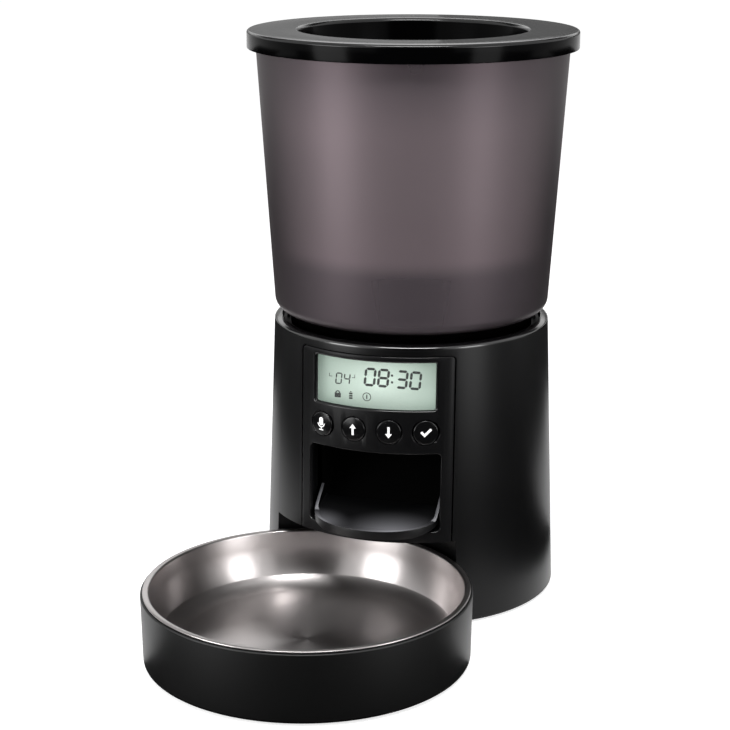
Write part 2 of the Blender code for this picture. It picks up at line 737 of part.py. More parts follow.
def base_floor():
    """The floor plate: battery opening, speaker slots, foot recesses and screw holes."""
    radius = case_radius(FLOOR_TOP) - CASE_WALL - FIT_GAP * 2
    plate = drum("base_floor", radius, FOOT_LIFT, FLOOR_TOP, LARGE_SIDES)
    floor = sub_part("base_floor", plate, finish("floor_black", SATIN_BLACK, 0.55), FEEDER_AXIS)
    cut(floor, niche_drum("floor_niche", NICHE_RADIUS + CASE_WALL + FIT_GAP, NICHE_TOP))

    slots = []
    for slot in range(GRILLE_SLOTS):
        x = SPEAKER_PLACE[0] + (slot - (GRILLE_SLOTS - 1) / 2) * GRILLE_SLOT_PITCH
        slots.append(block("grille_slot", (x - GRILLE_SLOT_WIDTH / 2, x + GRILLE_SLOT_WIDTH / 2),
                           (SPEAKER_PLACE[1] - GRILLE_SLOT_HALF_LENGTH,
                            SPEAKER_PLACE[1] + GRILLE_SLOT_HALF_LENGTH),
                           (0, FLOOR_TOP + OVERRUN)))
    door_outline = door_corners(0)
    slots.append(flat("battery_opening", [rounded(door_outline)], 0, FLOOR_TOP + OVERRUN))
    cut(floor, tool(together("floor_openings", slots), FEEDER_AXIS))

    holes = []
    for angle in FLOOR_POST_ANGLES:
        place = screw_place(angle, FLOOR_POST_INNER)
        holes.append(drum("screw_hole", SCREW_RADIUS + FIT_GAP, 0, FLOOR_TOP + OVERRUN, SCREW_SIDES, place))
    cut(floor, tool(together("floor_screw_holes", holes), FEEDER_AXIS))

    recesses = []
    for place in FOOT_PLACES:
        recesses.append(drum("foot_recess", FOOT_RADIUS + FIT_GAP, 0, FOOT_HEIGHT + FIT_GAP, SMALL_SIDES,
                             place))
    for angle in FLOOR_POST_ANGLES:
        recesses.append(drum("head_recess", SCREW_HEAD_RADIUS + FIT_GAP, 0, FOOT_LIFT + SCREW_HEAD,
                             SCREW_SIDES, screw_place(angle, FLOOR_POST_INNER)))
    cut(floor, tool(together("floor_recesses", recesses), FEEDER_AXIS))
    return floor


def base_feet():
    foot = drum("base_foot", FOOT_RADIUS, 0, FOOT_HEIGHT)
    copies("base_foot", foot, finish("foot_rubber", RUBBER_GREY, 0.9), FEEDER_AXIS, FOOT_PLACES)


def screws(name, profile, material, angles, inner):
    """Turned screws in the posts, one object each."""
    for number, angle in enumerate(angles, 1):
        x, y = screw_place(angle, inner)
        mesh = profile_mesh(name, profile)
        screw = sub_part(name + "_" + str(number), mesh, material, FEEDER_AXIS, (x, y, 0))
        turn_profile(screw, SCREW_SIDES)


def case_screws():
    """Screws up through the floor plate, their heads sunk in its underside."""
    low = FOOT_LIFT + FIT_GAP
    seat = FOOT_LIFT + SCREW_HEAD - FIT_GAP
    tip = FLOOR_TOP + SCREW_LENGTH - FIT_GAP
    profile = [(0, tip), (SCREW_RADIUS, tip), (SCREW_RADIUS, seat), (SCREW_HEAD_RADIUS, seat),
               (SCREW_HEAD_RADIUS, low), (0, low)]
    screws("case_screw", profile, finish("case_screw_steel", STEEL_GREY, 0.35, 1.0), FLOOR_POST_ANGLES,
           FLOOR_POST_INNER)


# Front panel

def shell_profile(outer_inset, inner_inset, low, high):
    """Profile of a ring that follows the case's draft between two insets."""
    return [(case_radius(high) - outer_inset, high), (case_radius(low) - outer_inset, low),
            (case_radius(low) - inner_inset, low), (case_radius(high) - inner_inset, high)]


def front_prism(name, low, high, radius, back=COLLAR_DEPTH):
    """A rounded rectangle in front view, cut through the case's front as a prism."""
    outline = rounded(box_corners(low, high, radius))
    return flat(name, [outline], -CASE_FOOT_RADIUS - OVERRUN, -back, "Y")


def grown(low, high, by):
    """A rectangle's two corners moved outwards."""
    return (low[0] - by, low[1] - by), (high[0] + by, high[1] + by)


PANEL_LOW, PANEL_HIGH = (-PANEL_HALF_WIDTH, PANEL_BOTTOM), (PANEL_HALF_WIDTH, PANEL_TOP)
WINDOW_LOW, WINDOW_HIGH = (-WINDOW_HALF_WIDTH, WINDOW_BOTTOM), (WINDOW_HALF_WIDTH, WINDOW_TOP)
CHUTE_LOW, CHUTE_HIGH = (-CHUTE_HALF_WIDTH, CHUTE_BOTTOM), (CHUTE_HALF_WIDTH, CHUTE_TOP)


def front_panel():
    """The curved inlay: skin with a stiffening frame, side flanges and the chute's collar."""
    below = PANEL_BOTTOM - OVERRUN
    above = PANEL_TOP + OVERRUN
    flange_inset = CASE_WALL + FIT_GAP
    material = finish("panel_black", SATIN_BLACK, 0.30)
    panel = turned("front_panel", shell_profile(0, flange_inset + FLANGE_WALL / 2, below, above), material,
                   FEEDER_AXIS)
    keep_inside(panel, tool(front_prism("panel_outline", PANEL_LOW, PANEL_HIGH, PANEL_ROUND), FEEDER_AXIS))

    flange_profile = shell_profile(flange_inset, flange_inset + FLANGE_WALL, below, above)
    flange = turned_tool("panel_flange", flange_profile, FEEDER_AXIS)
    wide_low = (-PANEL_HALF_WIDTH - PANEL_FLANGE, PANEL_BOTTOM + FIT_GAP)
    wide_high = (PANEL_HALF_WIDTH + PANEL_FLANGE, PANEL_TOP - FIT_GAP)
    flange_outline = front_prism("flange_outline", wide_low, wide_high, PANEL_ROUND,
                                 COLLAR_DEPTH - OVERRUN)
    keep_inside(flange, tool(flange_outline, FEEDER_AXIS))
    fuse(panel, flange)

    hollow = tool(front_prism("frame_hollow", (-PANEL_HALF_WIDTH + PANEL_FRAME, PANEL_BOTTOM + PANEL_FRAME),
                              (PANEL_HALF_WIDTH - PANEL_FRAME, WINDOW_TOP), PANEL_ROUND), FEEDER_AXIS)
    keep_inside(hollow, cone_tool("hollow_limit", PANEL_WALL, below, above))
    cut(panel, hollow)

    collar = tool(front_prism("chute_collar", *grown(CHUTE_LOW, CHUTE_HIGH, COLLAR_WALL),
                              CHUTE_ROUND + COLLAR_WALL), FEEDER_AXIS)
    keep_inside(collar, cone_tool("collar_limit", PANEL_WALL / 2, below, above))
    fuse(panel, collar)

    back = COLLAR_DEPTH - OVERRUN
    openings = together("panel_openings", [
        front_prism("chute_opening", CHUTE_LOW, CHUTE_HIGH, CHUTE_ROUND, back),
        front_prism("window_opening", WINDOW_LOW, WINDOW_HIGH, WINDOW_ROUND, back)])
    cut(panel, tool(openings, FEEDER_AXIS))
    reach = case_radius(BUTTON_HEIGHT) - COLLAR_DEPTH
    for angle in BUTTON_ANGLES:
        hole = drum("button_hole", BUTTON_HOLE_RADIUS, -reach, reach, MEDIUM_SIDES)
        cut(panel, tool(hole, FEEDER_AXIS, button_place(angle, case_radius(BUTTON_HEIGHT)),
                        (math.pi / 2, 0, angle)))
    return panel


def display_lens():
    """The clear curved lens, set back in the window with a ledge behind the panel's skin."""
    below = WINDOW_BOTTOM - OVERRUN
    above = WINDOW_TOP + OVERRUN
    seat = PANEL_WALL + FIT_GAP
    material = finish("lens_clear", (0.8, 0.85, 0.82), 0.05, alpha=0.3)
    lens = turned("display_lens", shell_profile(seat, seat + LENS_WALL, below, above), material,
                  FEEDER_AXIS)
    ledge_low = (-WINDOW_HALF_WIDTH - LENS_LEDGE, WINDOW_BOTTOM - LENS_LEDGE)
    ledge_high = (WINDOW_HALF_WIDTH + LENS_LEDGE, WINDOW_TOP - FIT_GAP)
    keep_inside(lens, tool(front_prism("ledge_outline", ledge_low, ledge_high, WINDOW_ROUND), FEEDER_AXIS))
    pane = turned_tool("lens_pane", shell_profile(LENS_INSET, seat + LENS_WALL / 2, below, above),
                       FEEDER_AXIS)
    keep_inside(pane, tool(front_prism("pane_outline", *grown(WINDOW_LOW, WINDOW_HIGH, -FIT_GAP * 2),
                                       WINDOW_ROUND), FEEDER_AXIS))
    return fuse(lens, pane)


def button_place(angle, radius):
    return (radius * math.sin(angle), -radius * math.cos(angle), BUTTON_HEIGHT)


def button(name, angle):
    """A push button: domed cap, hidden flange and a stem that ends at its switch.
    Its own +Z points out of the panel, and its origin is where its face is."""
    face = BUTTON_PROUD
    flange_top = -PANEL_WALL - BUTTON_DROP
    stem_end = SWITCH_TOP / math.cos(angle) + BUTTON_TRAVEL + FIT_GAP - case_radius(BUTTON_HEIGHT)
    slope = BUTTON_STEM_RADIUS * math.tan(abs(angle))
    points = [
        (0, face + BUTTON_DOME),
        (BUTTON_RADIUS / 2, face + BUTTON_DOME * DOME_SHOULDER_SHARE),
        (BUTTON_RADIUS - BUTTON_DOME, face),
        (BUTTON_RADIUS, face - BUTTON_DOME),
        (BUTTON_RADIUS, flange_top),
        (BUTTON_FLANGE_RADIUS, flange_top),
        (BUTTON_FLANGE_RADIUS, flange_top - BUTTON_FLANGE),
        (BUTTON_STEM_RADIUS, flange_top - BUTTON_FLANGE),
        (BUTTON_STEM_RADIUS, stem_end + slope),
        (0, stem_end + slope),
    ]
    material = finish(name + "_black", GLOSS_BLACK, 0.25)
    made = sub_part(name, profile_mesh(name, points), material, FEEDER_AXIS,
                    button_place(angle, case_radius(BUTTON_HEIGHT)), (math.pi / 2, 0, angle))
    return turn_profile(made, MEDIUM_SIDES)


# Display and control board

def lcd_screen():
    glass = block("lcd_screen", (-SCREEN_HALF_WIDTH, SCREEN_HALF_WIDTH), (-SCREEN_FRONT, -SCREEN_BACK),
                  (SCREEN_BOTTOM, SCREEN_TOP))
    return sub_part("lcd_screen", glass, finish("screen_glass", SCREEN_GREEN, 0.2), FEEDER_AXIS)


def lcd_holder():
    """A frame that presses the display's edges forward, with open middle."""
    low = (-SCREEN_HALF_WIDTH, SCREEN_BOTTOM)
    high = (SCREEN_HALF_WIDTH, SCREEN_TOP)
    inner_low, inner_high = grown(low, high, -SCREEN_HOLDER_WALL)
    outlines = [rounded(box_corners(low, high)), rounded(box_corners(inner_low, inner_high))]
    mesh = flat("lcd_holder", outlines, -SCREEN_BACK + FIT_GAP, -HOLDER_BACK, "Y")
    return sub_part("lcd_holder", mesh, finish("holder_white", GEAR_WHITE, 0.5), FEEDER_AXIS)


def control_board():
    """The upright circuit board with a switch behind each button."""
    mesh = block("control_board", (-SCREEN_HALF_WIDTH, SCREEN_HALF_WIDTH), (-BOARD_FRONT, -BOARD_BACK),
                 (BOARD_BOTTOM, BOARD_TOP))
    board = sub_part("control_board", mesh, finish("board_green", BOARD_GREEN, 0.5), FEEDER_AXIS)
    switches = []
    nubs = []
    for angle in BUTTON_ANGLES:
        x = SWITCH_TOP * math.tan(angle)
        switches.append(block("switch", (x - SWITCH_HALF_WIDTH, x + SWITCH_HALF_WIDTH),
                              (-BOARD_FRONT - SWITCH_BODY, -BOARD_FRONT + BOARD_DEPTH / 2),
                              (BUTTON_HEIGHT - SWITCH_HALF_WIDTH, BUTTON_HEIGHT + SWITCH_HALF_WIDTH)))
        nubs.append(flat("switch_nub", [circle_points((x, BUTTON_HEIGHT), SWITCH_NUB_RADIUS, SCREW_SIDES)],
                         -SWITCH_TOP, -BOARD_FRONT - SWITCH_BODY / 2, "Y"))
    fuse(board, tool(together("switches", switches), FEEDER_AXIS))
    fuse(board, tool(together("switch_nubs", nubs), FEEDER_AXIS))
    return board


def microphone_capsule():
    outline = circle_points((0, BOARD_BOTTOM + CAPSULE_RADIUS + FIT_GAP), CAPSULE_RADIUS, SMALL_SIDES)
    front = -BOARD_FRONT - FIT_GAP - CAPSULE_DEPTH
    mesh = flat("microphone_capsule", [outline], front, -BOARD_FRONT - FIT_GAP, "Y")
    return sub_part("microphone_capsule", mesh, finish("capsule_metal", STEEL_GREY, 0.4, 1.0), FEEDER_AXIS)


# Deck, chute and baffle

def feed_deck():
    """The top deck: feed cup with its outlet, screw holes and the hopper's keyed collar."""
    edge = CASE_TOP_RADIUS - RIM_WIDTH - FIT_GAP
    under = DECK_UNDERSIDE
    points = [
        (COLLAR_RADIUS, DECK_TOP + COLLAR_HEIGHT),
        (COLLAR_RADIUS, DECK_TOP),
        (edge, DECK_TOP),
        (edge, under),
        (CUP_RADIUS + CUP_WALL, under),
        (CUP_RADIUS + CUP_WALL, CUP_UNDERSIDE),
        (0, CUP_UNDERSIDE),
        (0, CUP_FLOOR_TOP),
        (CUP_RADIUS, CUP_FLOOR_TOP),
        (CUP_RADIUS, DECK_TOP),
        (COLLAR_INNER_RADIUS, DECK_TOP),
        (COLLAR_INNER_RADIUS, DECK_TOP + COLLAR_HEIGHT),
    ]
    axis_end = points.index((0, CUP_UNDERSIDE))
    points = points[axis_end + 1:] + points[:axis_end + 1]
    deck = turned("feed_deck", points, finish("deck_black", SATIN_BLACK, 0.45), FEEDER_AXIS)
    outlet = rounded(box_corners((-OUTLET_HALF_WIDTH, -OUTLET_FRONT), (OUTLET_HALF_WIDTH, -OUTLET_BACK),
                                 OUTLET_ROUND))
    bush_radius = SHAFT_RADIUS + FIT_GAP + BUSH_WALL + FIT_GAP
    holes = [flat("outlet", [outlet], CUP_UNDERSIDE - OVERRUN, CUP_FLOOR_TOP + OVERRUN),
             drum("bush_hole", bush_radius, CUP_UNDERSIDE - OVERRUN, CUP_FLOOR_TOP + OVERRUN, SMALL_SIDES)]
    for angle in DECK_POST_ANGLES:
        holes.append(drum("screw_hole", SCREW_RADIUS + FIT_GAP, under - OVERRUN, DECK_TOP + OVERRUN / 2,
                          SCREW_SIDES, screw_place(angle, DECK_POST_INNER)))
    cut(deck, tool(together("deck_holes", holes), FEEDER_AXIS))
    return deck


def deck_screws():
    """Screws down through the deck into the case's posts."""
    seat = DECK_TOP + FIT_GAP
    top = seat + SCREW_HEAD
    tip = DECK_UNDERSIDE - SCREW_LENGTH + FIT_GAP
    profile = [(0, top), (SCREW_HEAD_RADIUS, top), (SCREW_HEAD_RADIUS, seat), (SCREW_RADIUS, seat),
               (SCREW_RADIUS, tip), (0, tip)]
    screws("deck_screw", profile, finish("deck_screw_steel", STEEL_GREY, 0.35, 1.0), DECK_POST_ANGLES,
           DECK_POST_INNER)


def nose_outline(inset, back):
    """Plan of the ramp and tongue: straight sides and an elliptic nose."""
    half = RAMP_HALF_WIDTH - inset
    nose_start = TONGUE_REACH - TONGUE_NOSE
    points = [(half, back), (-half, back)]
    for step in range(NOSE_STEPS + 1):
        angle = math.pi * step / NOSE_STEPS
        points.append((-half * math.cos(angle), -nose_start - (TONGUE_NOSE - inset) * math.sin(angle)))
    return points


def food_chute():
    """Drop tube, ramp and scoop: side profiles along X, trimmed by the tongue's plan."""
    back = -TUBE_BACK + CHUTE_WALL
    lip_floor = TONGUE_LIP_TOP - TONGUE_LIP_DEPTH
    beyond = -TONGUE_REACH - OVERRUN
    turn = TONGUE_REACH - TONGUE_TURN
    shoulder = TONGUE_REACH - TONGUE_SHOULDER
    slope = (RAMP_FLOOR_BACK - RAMP_FLOOR_KNEE) / (RAMP_KNEE - TUBE_BACK)
    under = TONGUE_FLOOR * math.sqrt(1 + slope ** 2)
    outer = [
        (beyond, TONGUE_LIP_TOP), (-shoulder, TONGUE_LIP_TOP + TONGUE_SHOULDER_RISE),
        (-RAMP_MOUTH, TONGUE_LIP_TOP + TONGUE_WALL_RISE), (-RAMP_MOUTH, RAMP_ROOF), (back, RAMP_ROOF),
        (back, RAMP_FLOOR_BACK - under), (-RAMP_KNEE, RAMP_FLOOR_KNEE - under),
        (-turn + TONGUE_SKIRT, lip_floor - TONGUE_FLOOR),
        (-turn, TONGUE_LIP_TOP - TONGUE_SKIRT), (beyond, TONGUE_LIP_TOP - TONGUE_SKIRT),
    ]
    inner = [
        (beyond, RAMP_ROOF + OVERRUN), (-RAMP_MOUTH - OVERRUN, RAMP_ROOF + OVERRUN),
        (-RAMP_MOUTH - OVERRUN, CHUTE_TOP), (-TUBE_BACK, CHUTE_TOP),
        (-TUBE_BACK, RAMP_FLOOR_BACK), (-RAMP_KNEE, RAMP_FLOOR_KNEE), (-turn, lip_floor),
        (beyond, lip_floor),
    ]
    wide = RAMP_HALF_WIDTH + OVERRUN
    material = finish("chute_black", GLOSS_BLACK, 0.12)
    chute = sub_part("food_chute", flat("food_chute", [outer], -wide, wide, "X"), material, FEEDER_AXIS)
    plan = flat("chute_plan", [nose_outline(0, back + OVERRUN)], 0, CASE_HEIGHT)
    keep_inside(chute, tool(plan, FEEDER_AXIS))

    tube = block("tube", (-TUBE_HALF_WIDTH - CHUTE_WALL, TUBE_HALF_WIDTH + CHUTE_WALL),
                 (-TUBE_FRONT - CHUTE_WALL, back), (CHUTE_TOP + CHUTE_WALL / 2, CUP_UNDERSIDE - FIT_GAP))
    fuse(chute, tool(tube, FEEDER_AXIS))

    hollow = tool(flat("chute_hollow", [inner], -wide, wide, "X"), FEEDER_AXIS)
    inner_plan = flat("chute_inner_plan", [nose_outline(CHUTE_WALL, back + OVERRUN)], 0, CASE_HEIGHT)
    keep_inside(hollow, tool(inner_plan, FEEDER_AXIS))
    cut(chute, hollow)
    drop = block("drop", (-TUBE_HALF_WIDTH, TUBE_HALF_WIDTH), (-TUBE_FRONT, -TUBE_BACK),
                 (CHUTE_TOP - CHUTE_WALL, CASE_HEIGHT))
    cut(chute, tool(drop, FEEDER_AXIS))
    return chute


def outlet_baffle():
    """A flexible cover over the outlet, held at its front on the deck."""
    half = OUTLET_HALF_WIDTH + BAFFLE_MARGIN
    front = CUP_RADIUS + BAFFLE_TAB
    outline = rounded(box_corners((-half, -front), (half, BAFFLE_BACK - OUTLET_BACK), OUTLET_ROUND))
    mesh = flat("outlet_baffle", [outline], DECK_TOP + FIT_GAP, DECK_TOP + FIT_GAP + BAFFLE_THICKNESS)
    return sub_part("outlet_baffle", mesh, finish("baffle_rubber", RUBBER_GREY, 0.8), FEEDER_AXIS)


# Drive

def gear_outline(teeth, phase):
    """A spur gear's outline with one tooth centred at the phase angle."""
    pitch = GEAR_MODULE * teeth / 2
    tip = pitch + GEAR_MODULE * ADDENDUM_SHARE
    root = pitch - GEAR_MODULE * DEDENDUM_SHARE
    step = math.tau / teeth
    corners = ((root, -TOOTH_ROOT_SHARE), (tip, -TOOTH_TIP_SHARE), (tip, TOOTH_TIP_SHARE),
               (root, TOOTH_ROOT_SHARE))
    points = []
    for tooth in range(teeth):
        for radius, share in corners:
            angle = phase + step * (tooth + share)
            points.append((radius * math.cos(angle), radius * math.sin(angle)))
    return points


def meshing_phase(direction, teeth):
    """Phase of the driven gear so that one of its gaps faces the tooth that meets it."""
    return direction + math.pi + math.tau / teeth / 2


def drive_gear():
    """The output gear on its shaft, with a hexagonal end for the rotor."""
    outline = gear_outline(DRIVE_TEETH, IDLER_ANGLE)
    gear = sub_part("drive_gear", flat("drive_gear", [outline], UPPER_GEAR, UPPER_GEAR + GEAR_THICKNESS),
                    finish("drive_gear_white", GEAR_WHITE, 0.45), FEEDER_AXIS)
    shaft = drum("shaft", SHAFT_RADIUS, GEAR_FLOOR + FIT_GAP, ROTOR_BOTTOM, SMALL_SIDES)
    hexagon = drum("shaft_end", SHAFT_HEX_RADIUS, CUP_FLOOR_TOP + FIT_GAP, ROTOR_TOP - GEAR_THICKNESS, 6)
    fuse(gear, tool(shaft, FEEDER_AXIS))
    fuse(gear, tool(hexagon, FEEDER_AXIS))
    return gear


def idler_gear():
    """The compound gear: a large wheel below a small one."""
    direction = math.atan2(PINION_PLACE[1] - IDLER_PLACE[1], PINION_PLACE[0] - IDLER_PLACE[0])
    large = gear_outline(IDLER_LARGE_TEETH, direction)
    small = gear_outline(IDLER_SMALL_TEETH, meshing_phase(IDLER_ANGLE, IDLER_SMALL_TEETH))
    place = (IDLER_PLACE[0], IDLER_PLACE[1], 0)
    gear = sub_part("idler_gear", flat("idler_gear", [large], LOWER_GEAR, LOWER_GEAR + GEAR_THICKNESS),
                    finish("idler_gear_white", GEAR_WHITE, 0.45), FEEDER_AXIS, place)
    top = flat("idler_small", [small], LOWER_GEAR + GEAR_THICKNESS / 2, UPPER_GEAR + GEAR_THICKNESS)
    fuse(gear, tool(top, FEEDER_AXIS, place))
    bore = drum("idler_bore", IDLER_PIN_RADIUS + FIT_GAP, GEAR_FLOOR, CUP_UNDERSIDE, SCREW_SIDES)
    cut(gear, tool(bore, FEEDER_AXIS, place))
    return gear


def idler_pin():
    pin = drum("idler_pin", IDLER_PIN_RADIUS, GEAR_FLOOR + FIT_GAP, CUP_UNDERSIDE - FIT_GAP, SCREW_SIDES,
               IDLER_PLACE)
    return sub_part("idler_pin", pin, finish("pin_steel", STEEL_GREY, 0.3, 1.0), FEEDER_AXIS)


def motor_pinion():
    """The pinion with the motor's shaft, which ends inside the motor's nose."""
    direction = math.atan2(PINION_PLACE[1] - IDLER_PLACE[1], PINION_PLACE[0] - IDLER_PLACE[0])
    outline = gear_outline(PINION_TEETH, meshing_phase(direction, PINION_TEETH))
    place = (PINION_PLACE[0], PINION_PLACE[1], 0)
    wheel = flat("motor_pinion", [outline], LOWER_GEAR, LOWER_GEAR + GEAR_THICKNESS)
    pinion = sub_part("motor_pinion", wheel, finish("pinion_brass", BRASS_YELLOW, 0.35, 1.0),
                      FEEDER_AXIS, place)
    shaft = drum("motor_shaft", MOTOR_SHAFT_RADIUS, motor_top() - MOTOR_SHAFT_RADIUS,
                 LOWER_GEAR + GEAR_THICKNESS + GEAR_GAP / 2, SCREW_SIDES)
    fuse(pinion, tool(shaft, FEEDER_AXIS, place))
    return pinion


def motor_top():
    """Top face of the motor's can, under the gear tray."""
    return TRAY_BOTTOM - FIT_GAP


def drive_motor():
    """The motor's can with its nose, which centres it in the tray's floor."""
    top = motor_top()
    low = top - MOTOR_LENGTH
    edge = MOTOR_NOSE
    points = [
        (MOTOR_NOSE_RADIUS, top + MOTOR_NOSE), (MOTOR_NOSE_RADIUS, top),
        (MOTOR_RADIUS - edge, top), (MOTOR_RADIUS, top - edge),
        (MOTOR_RADIUS, low + edge), (MOTOR_RADIUS - edge, low), (0, low), (0, top + MOTOR_NOSE),
    ]
    material = finish("motor_steel", STEEL_GREY, 0.35, 1.0)
    place = (PINION_PLACE[0], PINION_PLACE[1], 0)
    ordered = points[-1:] + points[:-1]
    motor = sub_part("drive_motor", profile_mesh("drive_motor", ordered), material, FEEDER_AXIS, place)
    turn_profile(motor, MEDIUM_SIDES)
    bore = drum("motor_bore", MOTOR_SHAFT_RADIUS + FIT_GAP, top - MOTOR_SHAFT_RADIUS * 2, top + OVERRUN,
                SCREW_SIDES)
    cut(motor, tool(bore, FEEDER_AXIS, place))
    return motor


def gearbox_case():
    """The open tray under the cup that holds the gears, with a hole for the motor's nose."""
    drive = GEAR_MODULE * (DRIVE_TEETH / 2 + 1) + TRAY_MARGIN
    idler = GEAR_MODULE * (IDLER_LARGE_TEETH / 2 + 1) + TRAY_MARGIN
    pinion = GEAR_MODULE * (PINION_TEETH / 2 + 1) + TRAY_MARGIN
    low = (-drive, -drive)
    high = (IDLER_PLACE[0] + idler, max(IDLER_PLACE[1] + idler, PINION_PLACE[1] + pinion))
    outer_low = (low[0] - TRAY_WALL, low[1] - TRAY_WALL)
    outer_high = (high[0] + TRAY_WALL, high[1] + TRAY_WALL)
    outline = rounded(box_corners(outer_low, outer_high, TRAY_ROUND + TRAY_WALL))
    tray = sub_part("gearbox_case", flat("gearbox_case", [outline], TRAY_BOTTOM, CUP_UNDERSIDE - FIT_GAP),
                    finish("tray_black", SATIN_BLACK, 0.5), FEEDER_AXIS)
    inner = rounded(box_corners(low, high, TRAY_ROUND))
    cut(tray, tool(flat("tray_hollow", [inner], GEAR_FLOOR, CUP_UNDERSIDE + OVERRUN), FEEDER_AXIS))
    hole = drum("nose_hole", MOTOR_NOSE_RADIUS + FIT_GAP, TRAY_BOTTOM - OVERRUN, GEAR_FLOOR + OVERRUN,
                SMALL_SIDES, PINION_PLACE)
    cut(tray, tool(hole, FEEDER_AXIS))
    return tray


def shaft_bush():
    """The flanged bush in the cup's floor that carries the shaft."""
    inner = SHAFT_RADIUS + FIT_GAP
    outer = inner + BUSH_WALL
    seat = CUP_UNDERSIDE - FIT_GAP
    flange_low = seat - BUSH_FLANGE_THICKNESS
    points = [
        (outer, CUP_FLOOR_TOP), (outer, seat), (outer + BUSH_FLANGE, seat),
        (outer + BUSH_FLANGE, flange_low), (inner, flange_low), (inner, CUP_FLOOR_TOP),
    ]
    brass = finish("bush_brass", BRASS_YELLOW, 0.35, 1.0)
    return turned("shaft_bush", points, brass, FEEDER_AXIS, SMALL_SIDES)


def rotor_outline():
    """Hub and paddles in plan: an arc of hub, then out and back round each paddle."""
    step = math.tau / ROTOR_PADDLES
    half = PADDLE_THICKNESS / 2
    root = math.asin(half / ROTOR_HUB_RADIUS)
    tip = math.asin(half / ROTOR_RADIUS)
    points = []
    for paddle in range(ROTOR_PADDLES):
        middle = step * paddle
        for radius, offset in ((ROTOR_HUB_RADIUS, -root), (ROTOR_RADIUS, -tip), (ROTOR_RADIUS, tip),
                               (ROTOR_HUB_RADIUS, root)):
            points.append((radius * math.cos(middle + offset), radius * math.sin(middle + offset)))
        for share in range(1, CORNER_STEPS + 1):
            angle = middle + root + (step - 2 * root) * share / (CORNER_STEPS + 1)
            points.append((ROTOR_HUB_RADIUS * math.cos(angle), ROTOR_HUB_RADIUS * math.sin(angle)))
    return points


def portion_rotor():
    """The paddle wheel that carries one portion in each pocket to the outlet."""
    hexagon = circle_points((0, 0), SHAFT_HEX_RADIUS + FIT_GAP, 6, math.pi / 2)
    mesh = flat("portion_rotor", [rotor_outline(), hexagon], ROTOR_BOTTOM, ROTOR_TOP)
    return sub_part("portion_rotor", mesh, finish("rotor_rubber", (0.10, 0.10, 0.10), 0.7), FEEDER_AXIS)


def stirrer():
    """The domed cap on the rotor with leaning fingers that break up bridged food."""
    low = ROTOR_TOP + FIT_GAP
    points = rounded([
        (0, low + STIRRER_HEIGHT, 0), (STIRRER_RADIUS / 2, low + STIRRER_HEIGHT, STIRRER_BASE),
        (STIRRER_RADIUS, low + STIRRER_BASE, STIRRER_BASE / 2), (STIRRER_RADIUS, low, 0), (0, low, 0),
    ])
    cap = turned("stirrer", points, finish("stirrer_rubber", (0.10, 0.10, 0.10), 0.7), FEEDER_AXIS,
                 SMALL_SIDES)
    for finger in range(FINGER_COUNT):
        around = math.tau * (finger + 0.5) / FINGER_COUNT
        body = drum("finger", FINGER_RADIUS, 0, FINGER_LENGTH, SCREW_SIDES, top_radius=FINGER_TIP_RADIUS)
        reach = STIRRER_RADIUS / 2
        place = (reach * math.cos(around), reach * math.sin(around), low + STIRRER_BASE)
        fuse(cap, tool(body, FEEDER_AXIS, place, (0, FINGER_LEAN, around)))
    return cap


# Power and sound

def door_corners(inset):
    """The battery opening's corners, drawn in by an inset."""
    ledge = DOOR_LEDGE + inset
    return box_corners((-BAY_HALF_LENGTH - BAY_WALL + ledge, BAY_FRONT - BAY_WALL + ledge),
                       (BAY_HALF_LENGTH + BAY_WALL - ledge, BAY_BACK + BAY_WALL - ledge), BAY_ROUND)


def battery_box():
    """The open-bottomed tray that the cells lie in, standing on the floor plate."""
    low = (-BAY_HALF_LENGTH - BAY_WALL, BAY_FRONT - BAY_WALL)
    high = (BAY_HALF_LENGTH + BAY_WALL, BAY_BACK + BAY_WALL)
    bottom = FLOOR_TOP + FIT_GAP
    box = sub_part("battery_box", block("battery_box", (low[0], high[0]), (low[1], high[1]),
                                        (bottom, bottom + BAY_HEIGHT + BAY_WALL)),
                   finish("bay_black", SATIN_BLACK, 0.5), FEEDER_AXIS)
    hollow = block("bay_hollow", (low[0] + BAY_WALL, high[0] - BAY_WALL),
                   (low[1] + BAY_WALL, high[1] - BAY_WALL), (0, bottom + BAY_HEIGHT))
    return cut(box, tool(hollow, FEEDER_AXIS))


def battery_door():
    outline = rounded(door_corners(FIT_GAP))
    mesh = flat("battery_door", [outline], FOOT_LIFT, FOOT_LIFT + DOOR_THICKNESS)
    return sub_part("battery_door", mesh, finish("door_black", SATIN_BLACK, 0.55), FEEDER_AXIS)


def cell_middle(index):
    """Depth and height of one cell's axis."""
    y = BAY_FRONT + FIT_GAP + BATTERY_PITCH * (index + 0.5)
    z = FOOT_LIFT + DOOR_THICKNESS + FIT_GAP + BATTERY_RADIUS
    return y, z


def battery_cells():
    """Three round cells side by side; the middle one points the other way."""
    end = BAY_HALF_LENGTH - FIT_GAP * 2 - CONTACT_THICKNESS
    shoulder = end - BATTERY_NUB
    profile = [(0, end), (BATTERY_NUB_RADIUS, end), (BATTERY_NUB_RADIUS, shoulder),
               (BATTERY_RADIUS, shoulder), (BATTERY_RADIUS, end - BATTERY_LENGTH), (0, end - BATTERY_LENGTH)]
    material = finish("cell_wrap", CELL_COPPER, 0.35)
    for index in range(BATTERY_COUNT):
        y, z = cell_middle(index)
        lean = math.pi / 2 if index % 2 == 0 else -math.pi / 2
        name = "battery_cell_" + str(index + 1)
        cell = sub_part(name, profile_mesh(name, profile), material, FEEDER_AXIS, (0, y, z), (0, lean, 0))
        turn_profile(cell, SMALL_SIDES)


